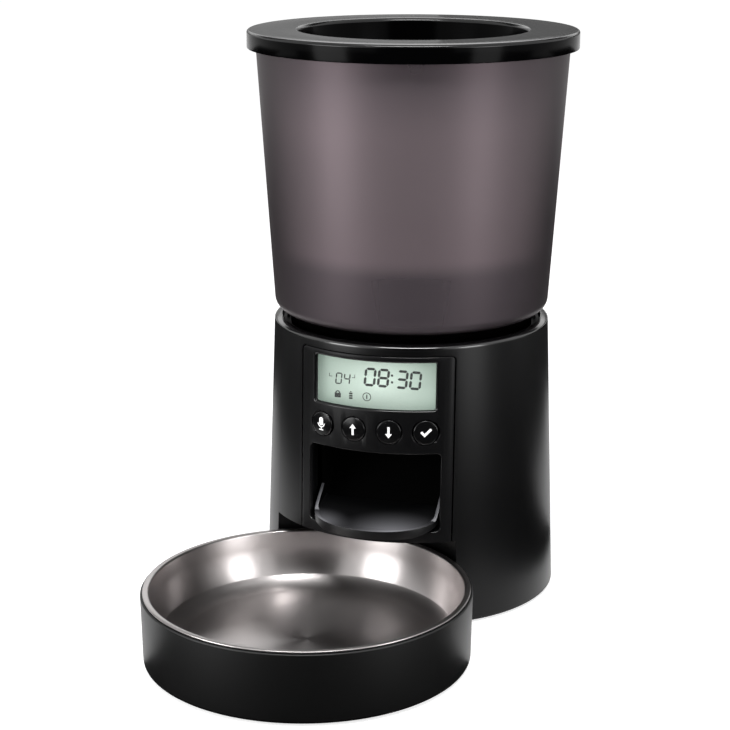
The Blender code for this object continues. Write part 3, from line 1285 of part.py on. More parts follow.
def battery_contact(name, side, cells):
    """A plate on one end wall of the bay, with a tapered spring where a cell's flat end meets it."""
    wall = BAY_HALF_LENGTH - FIT_GAP
    first, z = cell_middle(cells[0])
    last, z = cell_middle(cells[-1])
    plate = block(name, (wall - CONTACT_THICKNESS, wall),
                  (first - CONTACT_HALF_WIDTH, last + CONTACT_HALF_WIDTH),
                  (z - CONTACT_HALF_WIDTH, z + CONTACT_HALF_WIDTH))
    turn = (0, 0, 0) if side > 0 else (0, 0, math.pi)
    if side < 0:
        plate.transform(Matrix.Diagonal((1, -1, 1, 1)))
        plate.flip_normals()
    contact = sub_part(name, plate, finish(name + "_steel", STEEL_GREY, 0.3, 1.0), FEEDER_AXIS, turn=turn)
    flat_end = BATTERY_LENGTH - BAY_HALF_LENGTH + FIT_GAP * 2 + CONTACT_THICKNESS
    for index in cells:
        points_right = index % 2 == 0
        if points_right == (side > 0):
            continue
        y, z = cell_middle(index)
        spring = drum("contact_spring", CONTACT_SPRING_TIP_RADIUS, flat_end + FIT_GAP,
                      wall - CONTACT_THICKNESS / 2, SCREW_SIDES, top_radius=CONTACT_SPRING_RADIUS)
        spring.transform(Matrix.Rotation(math.pi / 2, 4, 'Y'))
        fuse(contact, tool(spring, FEEDER_AXIS, (0, y, z), turn))
    return contact


def speaker():
    """The speaker's frame and magnet, over the slots in the floor."""
    low = FLOOR_TOP + FIT_GAP
    points = [
        (0, low + SPEAKER_RIM + SPEAKER_MAGNET), (SPEAKER_MAGNET_RADIUS, low + SPEAKER_RIM + SPEAKER_MAGNET),
        (SPEAKER_MAGNET_RADIUS, low + SPEAKER_RIM * 2), (SPEAKER_RADIUS, low + SPEAKER_RIM),
        (SPEAKER_RADIUS, low), (0, low),
    ]
    steel = finish("speaker_steel", STEEL_GREY, 0.4, 1.0)
    made = sub_part("speaker", profile_mesh("speaker", points), steel, FEEDER_AXIS,
                    (SPEAKER_PLACE[0], SPEAKER_PLACE[1], 0))
    return turn_profile(made, SMALL_SIDES)


def dc_socket():
    """The power inlet behind the case's back wall: body, nose, bore and centre pin."""
    wall = case_radius(SOCKET_HEIGHT + SOCKET_HALF_WIDTH) - CASE_WALL - FIT_GAP
    front = wall - SOCKET_LENGTH
    nose_end = case_radius(SOCKET_HEIGHT) - FIT_GAP * 2
    body = block("dc_socket", (-SOCKET_HALF_WIDTH, SOCKET_HALF_WIDTH), (front, wall - FIT_GAP),
                 (SOCKET_HEIGHT - SOCKET_HALF_WIDTH, SOCKET_HEIGHT + SOCKET_HALF_WIDTH))
    socket = sub_part("dc_socket", body, finish("socket_black", GLOSS_BLACK, 0.4), FEEDER_AXIS)
    centre = (0, SOCKET_HEIGHT)
    nose = flat("socket_nose", [circle_points(centre, SOCKET_NOSE_RADIUS, SMALL_SIDES)],
                front + SOCKET_BORE_DEPTH / 2, nose_end, "Y")
    fuse(socket, tool(nose, FEEDER_AXIS))
    bore = flat("socket_bore", [circle_points(centre, SOCKET_BORE_RADIUS, SMALL_SIDES)],
                nose_end - SOCKET_BORE_DEPTH, nose_end + OVERRUN, "Y")
    cut(socket, tool(bore, FEEDER_AXIS))
    pin = flat("socket_pin", [circle_points(centre, SOCKET_PIN_RADIUS, SCREW_SIDES)],
               nose_end - SOCKET_BORE_DEPTH - CHUTE_WALL, nose_end - SOCKET_PIN_RADIUS, "Y")
    fuse(socket, tool(pin, FEEDER_AXIS))
    return socket


# Hopper

def hopper():
    """The tapered shell with its rounded foot, keyed neck and open mouth."""
    inner_floor = HOPPER_BOTTOM + HOPPER_WALL
    inner_round = HOPPER_FOOT_ROUND - HOPPER_WALL
    points = rounded([
        (HOPPER_TOP_RADIUS, HOPPER_TOP, 0),
        (hopper_radius(HOPPER_BOTTOM), HOPPER_BOTTOM, HOPPER_FOOT_ROUND),
        (NECK_RADIUS, HOPPER_BOTTOM, 0),
        (NECK_RADIUS, NECK_BOTTOM, 0),
        (NECK_INNER_RADIUS, NECK_BOTTOM, 0),
        (NECK_INNER_RADIUS, inner_floor, 0),
        (hopper_radius(inner_floor) - HOPPER_WALL, inner_floor, inner_round),
        (HOPPER_TOP_RADIUS - HOPPER_WALL, HOPPER_TOP, 0),
    ])
    shell = turned("hopper", points, finish("hopper_smoke", SMOKE_BROWN, 0.08, alpha=0.35), FEEDER_AXIS)
    keys = []
    for key in range(KEY_COUNT):
        mesh = block("key", (NECK_RADIUS - HOPPER_WALL / 2, NECK_RADIUS + KEY_REACH),
                     (-KEY_WIDTH / 2, KEY_WIDTH / 2), (NECK_BOTTOM + FIT_GAP, DECK_TOP + COLLAR_HEIGHT))
        mesh.transform(Matrix.Rotation(key_angle(key), 4, 'Z'))
        keys.append(mesh)
    fuse(shell, tool(together("neck_keys", keys), FEEDER_AXIS))
    return shell


def key_angle(key):
    return math.pi / 2 + math.tau * key / KEY_COUNT


def key_stops(deck):
    """Pairs of stops inside the deck's collar that hold the neck's keys from turning."""
    stops = []
    gap = KEY_WIDTH / 2 + PLAY
    for key in range(KEY_COUNT):
        for side in (-1, 1):
            near = gap * side
            far = (gap + KEY_REACH * 2) * side
            mesh = block("stop", (NECK_RADIUS + FIT_GAP * 2, COLLAR_INNER_RADIUS + COLLAR_THICKNESS / 2),
                         (min(near, far), max(near, far)),
                         (DECK_TOP - FIT_GAP, DECK_TOP + COLLAR_HEIGHT / 2))
            mesh.transform(Matrix.Rotation(key_angle(key), 4, 'Z'))
            stops.append(mesh)
    return fuse(deck, tool(together("key_stops", stops), FEEDER_AXIS))


def hopper_funnel():
    """The cone wedged in the hopper's foot that leads food down into the rotor's cup."""
    top_outer = hopper_radius(FUNNEL_TOP) - HOPPER_WALL - FIT_GAP
    mouth_outer = FUNNEL_MOUTH_RADIUS + FUNNEL_WALL
    mouth_bottom = DECK_TOP + FIT_GAP + BAFFLE_THICKNESS + PLAY
    inner_drop = FUNNEL_WALL * 2
    points = [
        (top_outer, FUNNEL_TOP), (top_outer - FIT_GAP, FUNNEL_TOP - FUNNEL_WALL),
        (mouth_outer, FUNNEL_KNEE), (mouth_outer, mouth_bottom), (FUNNEL_MOUTH_RADIUS, mouth_bottom),
        (FUNNEL_MOUTH_RADIUS, FUNNEL_KNEE + FUNNEL_WALL / 2), (top_outer - inner_drop, FUNNEL_TOP),
    ]
    return turned("hopper_funnel", points, finish("funnel_black", SATIN_BLACK, 0.4), FEEDER_AXIS)


# Lid

def lid():
    """The lid: flat ring round a deep well, outer side and inner skirt."""
    rim_inner = LID_RADIUS - LID_WALL
    well_floor = WELL_RADIUS - WELL_DRAFT
    skirt_inner = SKIRT_RADIUS - SKIRT_WALL
    points = rounded([
        (0, WELL_FLOOR_TOP, 0),
        (well_floor, WELL_FLOOR_TOP, WELL_FLOOR_ROUND),
        (WELL_RADIUS, LID_TOP, WELL_EDGE_ROUND),
        (LID_RADIUS, LID_TOP, LID_ROUND),
        (LID_RADIUS, LID_TOP - LID_SIDE, 0),
        (rim_inner, LID_TOP - LID_SIDE, 0),
        (rim_inner, LID_UNDERSIDE, 0),
        (SKIRT_RADIUS, LID_UNDERSIDE, 0),
        (SKIRT_RADIUS, SEAL_BOTTOM + SEAL_HEIGHT + FIT_GAP, 0),
        (SKIRT_RADIUS - SEAL_SEAT, SEAL_BOTTOM + SEAL_HEIGHT + FIT_GAP, 0),
        (SKIRT_RADIUS - SEAL_SEAT, SEAL_BOTTOM - FIT_GAP, 0),
        (SKIRT_RADIUS, SEAL_BOTTOM - FIT_GAP, 0),
        (SKIRT_RADIUS, SKIRT_BOTTOM, 0),
        (skirt_inner, SKIRT_BOTTOM, 0),
        (skirt_inner, LID_UNDERSIDE, 0),
        (WELL_RADIUS + LID_WALL, LID_UNDERSIDE, 0),
        (well_floor + LID_WALL, WELL_UNDERSIDE, 0),
        (0, WELL_UNDERSIDE, 0),
    ])
    return turned("lid", points, finish("lid_black", SATIN_BLACK, 0.32), FEEDER_AXIS)


def lid_seal():
    """The soft ring between the lid's skirt and the hopper's mouth."""
    inner = SKIRT_RADIUS - SEAL_SEAT + FIT_GAP
    outer = hopper_radius(SEAL_BOTTOM) - HOPPER_WALL - FIT_GAP
    points = [(outer, SEAL_BOTTOM + SEAL_HEIGHT), (outer - SEAL_SEAT, SEAL_BOTTOM),
              (inner, SEAL_BOTTOM), (inner, SEAL_BOTTOM + SEAL_HEIGHT)]
    return turned("lid_seal", points, finish("seal_silicone", RUBBER_GREY, 0.7), FEEDER_AXIS)


def desiccant_box():
    """The cup under the well that holds a drying pack, open downwards."""
    top = WELL_UNDERSIDE - FIT_GAP
    low = top - DRYER_DEPTH
    inner = DRYER_RADIUS - DRYER_WALL
    ceiling = top - DRYER_WALL
    points = [(0, top), (DRYER_RADIUS, top), (DRYER_RADIUS, low), (inner, low), (inner, ceiling),
              (0, ceiling)]
    black = finish("dryer_black", SATIN_BLACK, 0.45)
    return turned("desiccant_box", points, black, FEEDER_AXIS, MEDIUM_SIDES)


def desiccant_cover():
    """The slotted cover that snaps into the cup's mouth."""
    radius = DRYER_RADIUS - DRYER_WALL - FIT_GAP
    low = WELL_UNDERSIDE - FIT_GAP - DRYER_DEPTH
    slots = []
    for slot in range(DRYER_SLOTS):
        x = (slot - (DRYER_SLOTS - 1) / 2) * DRYER_SLOT_PITCH
        half = math.sqrt(radius ** 2 - x ** 2) - DRYER_SLOT_WIDTH * 2
        low_corner = (x - DRYER_SLOT_WIDTH / 2, -half)
        high_corner = (x + DRYER_SLOT_WIDTH / 2, half)
        slots.append(rounded(box_corners(low_corner, high_corner)))
    outline = circle_points((0, 0), radius, MEDIUM_SIDES)
    mesh = flat("desiccant_cover", [outline] + slots, low, low + DRYER_COVER)
    return sub_part("desiccant_cover", mesh, finish("dryer_cover_black", SATIN_BLACK, 0.45), FEEDER_AXIS)


# Bowl

def bowl_holder():
    """The round holder: drafted wall, floor with a groove for its grip ring, ledge for the bowl's rim."""
    foot = HOLDER_RADIUS - HOLDER_DRAFT
    inner_top = HOLDER_RADIUS - HOLDER_WALL
    floor_top = FOOT_LIFT + HOLDER_FLOOR
    groove_outer = HOLDER_RADIUS - GRIP_INSET + FIT_GAP
    groove_inner = HOLDER_RADIUS - GRIP_INSET - GRIP_WIDTH - FIT_GAP
    groove_top = GRIP_HEIGHT + FIT_GAP
    points = rounded([
        (0, floor_top, 0), (inner_top - HOLDER_DRAFT, floor_top, HOLDER_ROUND),
        (inner_top, HOLDER_HEIGHT, 0), (HOLDER_RADIUS, HOLDER_HEIGHT, 0), (foot, FOOT_LIFT, HOLDER_ROUND),
        (groove_outer, FOOT_LIFT, 0), (groove_outer, groove_top, 0),
        (groove_inner, groove_top, 0), (groove_inner, FOOT_LIFT, 0), (0, FOOT_LIFT, 0),
    ])
    return turned("bowl_holder", points, finish("holder_black", SATIN_BLACK, 0.35), BOWL_AXIS)


def holder_grip_ring():
    """The rubber ring in the holder's underside that it stands on."""
    outer = HOLDER_RADIUS - GRIP_INSET
    inner = outer - GRIP_WIDTH
    points = [(outer, GRIP_HEIGHT), (outer, 0), (inner, 0), (inner, GRIP_HEIGHT)]
    return turned("holder_grip_ring", points, finish("grip_rubber", RUBBER_GREY, 0.9), BOWL_AXIS)


def steel_bowl():
    """The pressed bowl: rim that lies on the holder, steep wall and a wide corner round."""
    rim_top = HOLDER_HEIGHT + FIT_GAP + BOWL_METAL
    edge = HOLDER_RADIUS - BOWL_RIM_INSET
    mouth = edge - BOWL_RIM_WIDTH
    floor_top = rim_top - BOWL_DEPTH
    corner = mouth - BOWL_WALL_LEAN
    metal = BOWL_METAL
    points = rounded([
        (0, floor_top, 0),
        (corner, floor_top, BOWL_FLOOR_ROUND),
        (mouth, rim_top, 0),
        (edge, rim_top, 0),
        (edge, rim_top - metal, 0),
        (mouth + metal, rim_top - metal, 0),
        (corner + metal, floor_top - metal, BOWL_FLOOR_ROUND + metal),
        (0, floor_top - metal, 0),
    ], CORNER_STEPS + 1)
    return turned("steel_bowl", points, finish("bowl_steel", STEEL_GREY, 0.22, 1.0), BOWL_AXIS)


def build():
    base_housing()
    base_floor()
    base_feet()
    case_screws()
    front_panel()
    for name, angle in zip(("button_talk", "button_up", "button_down", "button_confirm"), BUTTON_ANGLES):
        button(name, angle)
    display_lens()
    lcd_screen()
    lcd_holder()
    control_board()
    microphone_capsule()
    key_stops(feed_deck())
    deck_screws()
    food_chute()
    outlet_baffle()
    drive_gear()
    idler_gear()
    idler_pin()
    motor_pinion()
    drive_motor()
    gearbox_case()
    shaft_bush()
    portion_rotor()
    stirrer()
    battery_box()
    battery_door()
    battery_cells()
    battery_contact("battery_contact_positive", 1, (0,))
    battery_contact("battery_contact_right", 1, (1, 2))
    battery_contact("battery_contact_left", -1, (0, 1))
    battery_contact("battery_contact_negative", -1, (2,))
    speaker()
    dc_socket()
    hopper()
    hopper_funnel()
    lid()
    lid_seal()
    desiccant_box()
    desiccant_cover()
    bowl_holder()
    holder_grip_ring()
    steel_bowl()


build()
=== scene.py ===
import math

import bmesh
import bpy
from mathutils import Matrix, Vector
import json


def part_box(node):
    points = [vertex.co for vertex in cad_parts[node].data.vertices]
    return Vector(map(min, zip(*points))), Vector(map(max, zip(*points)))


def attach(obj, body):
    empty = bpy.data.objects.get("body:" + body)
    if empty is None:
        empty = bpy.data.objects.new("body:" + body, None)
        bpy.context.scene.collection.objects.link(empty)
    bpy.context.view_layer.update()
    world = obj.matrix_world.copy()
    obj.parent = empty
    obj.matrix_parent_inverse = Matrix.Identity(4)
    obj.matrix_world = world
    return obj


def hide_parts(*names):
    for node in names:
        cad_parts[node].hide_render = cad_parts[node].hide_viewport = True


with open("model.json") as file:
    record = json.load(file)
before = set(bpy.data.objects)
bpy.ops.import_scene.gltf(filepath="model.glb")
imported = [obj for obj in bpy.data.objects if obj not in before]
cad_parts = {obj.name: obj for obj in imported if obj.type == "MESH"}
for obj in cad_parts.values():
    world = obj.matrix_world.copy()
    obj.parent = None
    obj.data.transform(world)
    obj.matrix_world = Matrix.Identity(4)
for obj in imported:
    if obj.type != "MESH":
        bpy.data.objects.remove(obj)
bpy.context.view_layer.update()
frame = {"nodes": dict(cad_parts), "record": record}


# Places and sizes that the frame gives
LID_LOW, LID_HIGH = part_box("lid")
HOPPER_LOW, HOPPER_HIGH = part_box("hopper")
FUNNEL_LOW, FUNNEL_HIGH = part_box("hopper_funnel")
CASE_LOW, CASE_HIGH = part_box("base_housing")
PANEL_LOW, PANEL_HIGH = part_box("front_panel")
SCREEN_LOW, SCREEN_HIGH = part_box("lcd_screen")
SOCKET_LOW, SOCKET_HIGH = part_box("dc_socket")
CHUTE_LOW, CHUTE_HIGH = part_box("food_chute")
HOLDER_LOW, HOLDER_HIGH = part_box("bowl_holder")
BOWL_LOW, BOWL_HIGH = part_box("steel_bowl")
FEEDER = (LID_LOW + LID_HIGH) / 2
BOWL = (HOLDER_LOW + HOLDER_HIGH) / 2

# Build settings
MM = 0.001
SIDES = 192
FINE_SIDES = 96
SMALL_SIDES = 48
SNUG = 0.02 * MM
TINY = 0.001 * MM
OVERRUN = 3 * MM
FIT_GAP = 0.3 * MM
CURVE_STRIP = 1.6 * MM
SHARP = 30
ABOUT_X = (math.pi / 2, 0, 0)

# Hopper, its smoky tint and its painted shade
HOPPER_FOOT = 167.6 * MM
HOPPER_FOOT_RADIUS = 79.2 * MM
HOPPER_TOP_RADIUS = 89.4 * MM
SMOKE_LIGHT = (0.108, 0.085, 0.093)
SMOKE_DARK = (0.076, 0.064, 0.069)
# Painted shade: where the funnel stands behind the wall and below the lid's brim
SMOKE_PAINTED_SHADE = (0.041, 0.035, 0.040)
SMOKE_RIM = (0.012, 0.010, 0.011)
# Painted shade for the neck, in the dark gap above the case
SMOKE_NECK_SHADE = (0.0008, 0.0007, 0.0007)
SMOKE_GLOSS = (1.0, 0.80, 0.87)
SMOKE_SPECULAR = 0.68
SMOKE_ALPHA = 0.78

# Case
CASE_TOP_RADIUS = 80 * MM
CASE_FOOT_RADIUS = 86 * MM
CASE_WALL = 2.5 * MM
RIM_WIDTH = 4.4 * MM
RIM_DEPTH = 4.5 * MM
RIM_ROUND = 2.0 * MM
RIM_POLISH = 160.9 * MM
NICHE_GAP = 3.0 * MM
NICHE_TOP = 50 * MM
NICHE_RADIUS = (HOLDER_HIGH.x - HOLDER_LOW.x) / 2 + NICHE_GAP
INLET_RADIUS = 4.9 * MM

# Panel with its openings, drawn flat: across, up
PANEL_HALF = 44.3 * MM
PANEL_WALL = 2.2 * MM
PANEL_CORNER = 2.4 * MM
PANEL_EDGE = 0.5 * MM
PANEL_SEAM = 0.5 * MM
WINDOW_HALF = 36.5 * MM
WINDOW_BOTTOM = 125.0 * MM
WINDOW_TOP = 154.4 * MM
WINDOW_LIP = 1.3 * MM
WINDOW_CORNER = 1.0 * MM
OPENING_HALF = 38.4 * MM
OPENING_BOTTOM = 56.2 * MM
OPENING_TOP = 101.4 * MM
OPENING_CORNER = 2.6 * MM
OPENING_EDGE = 0.6 * MM

# Buttons
BUTTON_HEIGHT = 114.0 * MM
BUTTON_RADIUS = 6.9 * MM
BUTTON_HOLE = 7.3 * MM
BUTTON_STEP = math.radians(14.4)
BUTTON_NAMES = ("button_talk", "button_up", "button_down", "button_confirm")
BUTTON_ANGLES = [BUTTON_STEP * step for step in (-1.5, -0.5, 0.5, 1.5)]

# Display: its painted glow and shade, the slant of its figures and the bars that each figure lights
GLOW_WIDE = 46 * MM
GLOW_TALL = 26 * MM
DISPLAY_MIDDLE = (0.50, 0.60, 0.53)
# Darker edge colour: painted shade towards the display's edges
DISPLAY_EDGE_SHADE = (0.16, 0.22, 0.18)
LEAN = 0.11
SEGMENTS = {"0": "abcdef", "3": "abcdg", "4": "bcfg", "8": "abcdefg"}

# Chute with its scoop and the painted highlight patches on the scoop's floor
CHUTE_HALF = 36 * MM
CHUTE_WALL = 1.6 * MM
NOSE = 26 * MM
REACH = FEEDER.y - CHUTE_LOW.y
LIP = 60.0 * MM
LIP_PAINTED_SHEEN = (0.26, 0.26, 0.28)
LIP_HIGHLIGHT_PATCHES = [
    ((FEEDER.x + 16 * MM, CHUTE_LOW.y + 2 * MM, 0), (40 * MM, 30 * MM, 0)),
    ((FEEDER.x - 30 * MM, CHUTE_LOW.y + 7 * MM, 0), (22 * MM, 20 * MM, 0)),
]

# Stage and camera
FLOOR_SIZE = 12
FLOOR_GLOW = 0.70
WORLD_LIGHT = 0.40
ON_FLOOR = 0.4 * MM
CARD_DISTANCE = 2.2
VIEW_TURN = math.radians(17.0317)
VIEW_TILT = math.radians(90 - 15.3312)
VIEW_PLACE = (0.2998, -0.9797, 0.4279)
VIEW_LENS = 93.7
VIEW_SENSOR = 36
LYING = (0, 0, VIEW_TURN)
UPRIGHT = (math.pi / 2, 0, VIEW_TURN)


def taper(height, low, high, low_radius, high_radius):
    """Radius of a cone at a height."""
    return low_radius + (high_radius - low_radius) * ((height - low) / (high - low))


def case_radius(height):
    """Outer radius of the drafted case at a height."""
    return taper(height, CASE_LOW.z, CASE_HIGH.z, CASE_FOOT_RADIUS, CASE_TOP_RADIUS)


def hopper_radius(height):
    """Outer radius of the tapered hopper at a height."""
    return taper(height, HOPPER_FOOT, HOPPER_HIGH.z, HOPPER_FOOT_RADIUS, HOPPER_TOP_RADIUS)


# Modelling helpers

def put_down():
    """Leaves edit mode and selects nothing."""
    if bpy.context.mode != "OBJECT":
        bpy.ops.object.mode_set(mode="OBJECT")
    bpy.ops.object.select_all(action="DESELECT")


def take(piece):
    """Makes a piece the only selected and active one."""
    put_down()
    piece.select_set(True)
    bpy.context.view_layer.objects.active = piece
    return piece


def fresh(name):
    """Names the primitive just added and moves its place into its mesh."""
    piece = bpy.context.object
    piece.name = name
    piece.data.name = name
    bpy.ops.object.transform_apply(location=True, rotation=True, scale=True)
    return piece


def edit(piece):
    """Enters edit mode with the whole piece selected."""
    take(piece)
    bpy.ops.object.mode_set(mode="EDIT")
    bpy.ops.mesh.select_all(action="SELECT")


def pick(piece, kind, test):
    """In edit mode, selects the vertices, edges or faces that pass a test."""
    bpy.ops.mesh.select_mode(type=kind)
    bpy.ops.mesh.select_all(action="DESELECT")
    mesh = bmesh.from_edit_mesh(piece.data)
    items = {"VERT": mesh.verts, "EDGE": mesh.edges, "FACE": mesh.faces}[kind]
    for item in items:
        if test(item):
            item.select_set(True)
    bmesh.update_edit_mesh(piece.data)


def extrude(x=0, y=0, z=0):
    """Extrudes what is selected by a step."""
    bpy.ops.mesh.extrude_region_move(TRANSFORM_OT_translate={"value": (x, y, z)})


def round_edges(size, steps, clamp=False):
    """Bevels the selected edges round."""
    bpy.ops.mesh.bevel(offset=size, segments=steps, affect="EDGES", clamp_overlap=clamp)


def settle(piece, angle=35):
    """Merges doubles, points the faces outwards and shades smooth between sharp edges."""
    edit(piece)
    bpy.ops.mesh.remove_doubles(threshold=TINY)
    bpy.ops.mesh.normals_make_consistent(inside=False)
    take(piece)
    bpy.ops.object.shade_smooth_by_angle(angle=math.radians(angle))
    return piece


def combine(piece, other, operation):
    """Boolean of a piece with another body, which is used up."""
    take(piece)
    modifier = piece.modifiers.new("boolean", "BOOLEAN")
    modifier.object = other
    modifier.operation = operation
    modifier.solver = "EXACT"
    bpy.ops.object.modifier_apply(modifier=modifier.name)
    bpy.data.objects.remove(other, do_unlink=True)
    return piece


def cut(piece, other):
    return combine(piece, other, "DIFFERENCE")


def join(pieces, name):
    """Makes several pieces one."""
    put_down()
    for piece in pieces:
        piece.select_set(True)
    bpy.context.view_layer.objects.active = pieces[0]
    bpy.ops.object.join()
    pieces[0].name = name
    pieces[0].data.name = name
    return pieces[0]


def place(piece, location=(0, 0, 0), turn=(0, 0, 0)):
    """Moves a finished piece to its place and keeps that place in its mesh."""
    take(piece)
    piece.location = location
    piece.rotation_euler = turn
    bpy.ops.object.transform_apply(location=True, rotation=True, scale=True)
    return piece


def turned(name, axis, rings, sides=SIDES, closed=True):
    """A turned piece: a circle extruded from ring to ring; a ring is (radius, height, round).
    A closed profile comes back to its first ring, and an open one is capped at both ends."""
    radius, height = rings[0][0], rings[0][1]
    start = (axis[0], axis[1], height)
    put_down()
    bpy.ops.mesh.primitive_circle_add(vertices=sides, radius=radius, location=start)
    piece = fresh(name)
    edit(piece)
    if not closed:
        cap(radius)
    pick(piece, "EDGE", lambda edge: at_ring(edge, axis, radius, height))
    for ring in rings[1:] + (rings[:1] if closed else []):
        extrude(z=ring[1] - height)
        spread = ring[0] / radius
        centre = (axis[0], axis[1], ring[1])
        bpy.ops.transform.resize(value=(spread, spread, 1), center_override=centre)
        radius, height = ring[0], ring[1]
    if not closed:
        cap(radius)
    bpy.ops.mesh.select_all(action="SELECT")
    bpy.ops.mesh.remove_doubles(threshold=TINY)
    for ring in rings:
        if len(ring) > 2 and ring[2] > 0:
            pick(piece, "EDGE", lambda edge: at_ring(edge, axis, ring[0], ring[1]))
            round_edges(ring[2], round_steps(ring[2]))
    return settle(piece)


def cap(radius):
    """Fills the selected ring with a disc that has a narrow flat band at its edge."""
    bpy.ops.mesh.edge_face_add()
    bpy.ops.mesh.inset(thickness=radius / 8)
    bpy.ops.mesh.inset(thickness=radius / 2)


def round_steps(size):
    """Enough steps that a round looks smooth close up."""
    return 3 if size < 0.5 * MM else 6 if size < 4 * MM else 14


def at_ring(edge, axis, radius, height):
    """True for an edge that lies along a turned piece's ring."""
    return all(abs(math.hypot(vertex.co.x - axis[0], vertex.co.y - axis[1]) - radius) <= SNUG
               and abs(vertex.co.z - height) <= SNUG for vertex in edge.verts)


def slab(name, points, low, high):
    """A flat outline of (across, up) points, filled and given a thickness along +Z."""
    put_down()
    bpy.ops.mesh.primitive_circle_add(vertices=len(points), radius=1)
    piece = fresh(name)
    edit(piece)
    mesh = bmesh.from_edit_mesh(piece.data)
    for vertex, point in zip(mesh.verts, points):
        vertex.co = (point[0], point[1], low)
    bmesh.update_edit_mesh(piece.data)
    bpy.ops.mesh.edge_face_add()
    extrude(z=high - low)
    bpy.ops.mesh.select_all(action="SELECT")
    bpy.ops.mesh.normals_make_consistent(inside=False)
    put_down()
    return piece


def block(name, low, high):
    """A plain box between two corners."""
    put_down()
    middle = [(start + end) / 2 for start, end in zip(low, high)]
    sizes = [end - start for start, end in zip(low, high)]
    bpy.ops.mesh.primitive_cube_add(size=1, location=middle, scale=sizes)
    return fresh(name)


def plate(name, low, high, corner, front, back):
    """A rounded rectangle standing upright: across, up and from a front to a back depth."""
    piece = block(name, (low[0], front, low[1]), (high[0], back, high[1]))
    edit(piece)
    pick(piece, "EDGE", lambda edge: abs(edge.verts[0].co.y - edge.verts[1].co.y) > TINY)
    round_edges(corner, 8)
    put_down()
    return piece


def rod(name, middle, radius, length, turn=(0, 0, 0), sides=SMALL_SIDES):
    """A plain round bar for cutting and joining, centred on its place."""
    put_down()
    bpy.ops.mesh.primitive_cylinder_add(vertices=sides, radius=radius, depth=length,
                                        location=middle, rotation=turn)
    return fresh(name)


def slice_across(piece, low, high, step=CURVE_STRIP):
    """Cuts a flat piece into narrow strips so that it can follow the case's curve."""
    edit(piece)
    count = round((high - low) / step)
    for index in range(1, count):
        bpy.ops.mesh.select_all(action="SELECT")
        across = low + (high - low) * index / count
        bpy.ops.mesh.bisect(plane_co=(across, 0, 0), plane_no=(1, 0, 0))
    put_down()
    return piece


def sink_front(piece, margin, step):
    """Insets a plate's front face and moves what is inside the margin along its depth."""
    edit(piece)
    pick(piece, "FACE", lambda face: face.normal.y < -0.9)
    bpy.ops.mesh.inset(thickness=margin)
    extrude(y=step)


def wrap(piece):
    """Lays a flat upright piece on the case: across stays across, and depth runs inwards."""
    for vertex in piece.data.vertices:
        across, depth, height = vertex.co
        angle = math.asin(across / case_radius(height))
        vertex.co = round_case(angle, height, depth)
    piece.data.update()
    return piece


def round_case(angle, height, depth=0):
    """A place on the case at an angle from its front, or a depth inside it."""
    radius = case_radius(height) - depth
    return (FEEDER.x + radius * math.sin(angle), FEEDER.y - radius * math.cos(angle), height)


def keep_inside(piece, depth, low, high):
    """Keeps what lies at least this deep inside the case between two heights."""
    rings = [(case_radius(height) - depth, height) for height in (low, high)]
    return combine(piece, turned("case_limit", FEEDER, rings, closed=False), "INTERSECT")


def edge_is_sharp(edge):
    return len(edge.link_faces) == 2 and edge.calc_face_angle(0) > math.radians(SHARP)


# Materials

def feed(node, inputs):
    """Links sockets into a node's inputs and sets its plain values."""
    for key, value in inputs.items():
        if isinstance(value, bpy.types.NodeSocket):
            node.id_data.links.new(value, node.inputs[key])
        else:
            node.inputs[key].default_value = value


def adder(tree):
    """A helper that adds a fed node to a material's or a world's tree."""
    def add(kind, inputs=None, **settings):
        node = tree.nodes.new("ShaderNode" + kind)
        for key, value in settings.items():
            setattr(node, key, value)
        feed(node, inputs or {})
        return node

    return add


def tools(material):
    """A material's shader and the helper that adds nodes beside it."""
    tree = material.node_tree
    return tree.nodes["Principled BSDF"], adder(tree)


def new_material(name):
    """A new material, its shader and the helper that adds nodes beside it."""
    material = bpy.data.materials.new(name)
    material.use_nodes = True
    return (material, *tools(material))


def noise(add, where, scale, detail=2.0):
    return add("TexNoise", {"Vector": where, "Scale": scale, "Detail": detail}).outputs["Fac"]


def ramp(add, value, start, end, low=0.0, high=1.0, ease="LINEAR"):
    """Carries a value from one range to another."""
    ends = {"Value": value, "From Min": start, "From Max": end, "To Min": low, "To Max": high}
    return add("MapRange", ends, interpolation_type=ease).outputs["Result"]


def maths(add, operation, first, second):
    return add("Math", {0: first, 1: second}, operation=operation).outputs["Value"]


def blend(add, factor, first, second):
    """Mixes two colours, either of which may come from another node."""
    ends = [end if isinstance(end, bpy.types.NodeSocket) else (*end, 1) for end in (first, second)]
    mix = add("Mix", {"Factor": factor, "A": ends[0], "B": ends[1]}, data_type="RGBA")
    return mix.outputs["Result"]


def relief(add, height, strength, distance):
    """Turns a pattern into fine relief."""
    return add("Bump", {"Height": height, "Strength": strength, "Distance": distance}).outputs["Normal"]


def pool(add, middle, half_sizes, kind):
    """A soft round patch, full in its middle; a half size of zero leaves that direction out."""
    shrink = [1 / size if size else 0 for size in half_sizes]
    centre = add("Mapping", {
        "Vector": add("TexCoord").outputs["Object"],
        "Location": [-spot * share for spot, share in zip(middle, shrink)],
        "Scale": shrink,
    })
    return add("TexGradient", {"Vector": centre.outputs["Vector"]}, gradient_type=kind).outputs["Fac"]


def moulded(name, colour, roughness, specular=0.5, grain=0.02, spread=0.10):
    """Moulded plastic: fine grain in the surface, slow variation in its colour and gloss."""
    material, shader, add = new_material(name)
    where = add("TexCoord").outputs["Object"]
    cloud = noise(add, where, 28.0, 3.0)
    light = [value * (1 + spread) + 0.0004 for value in colour]
    dark = [value * (1 - spread) for value in colour]
    feed(shader, {
        "Base Color": blend(add, cloud, dark, light),
        "Roughness": ramp(add, cloud, 0, 1, roughness - 0.03, roughness + 0.03),
        "Specular IOR Level": specular,
        "Normal": relief(add, noise(add, where, 2600.0), grain, 0.1 * MM),
    })
    return material


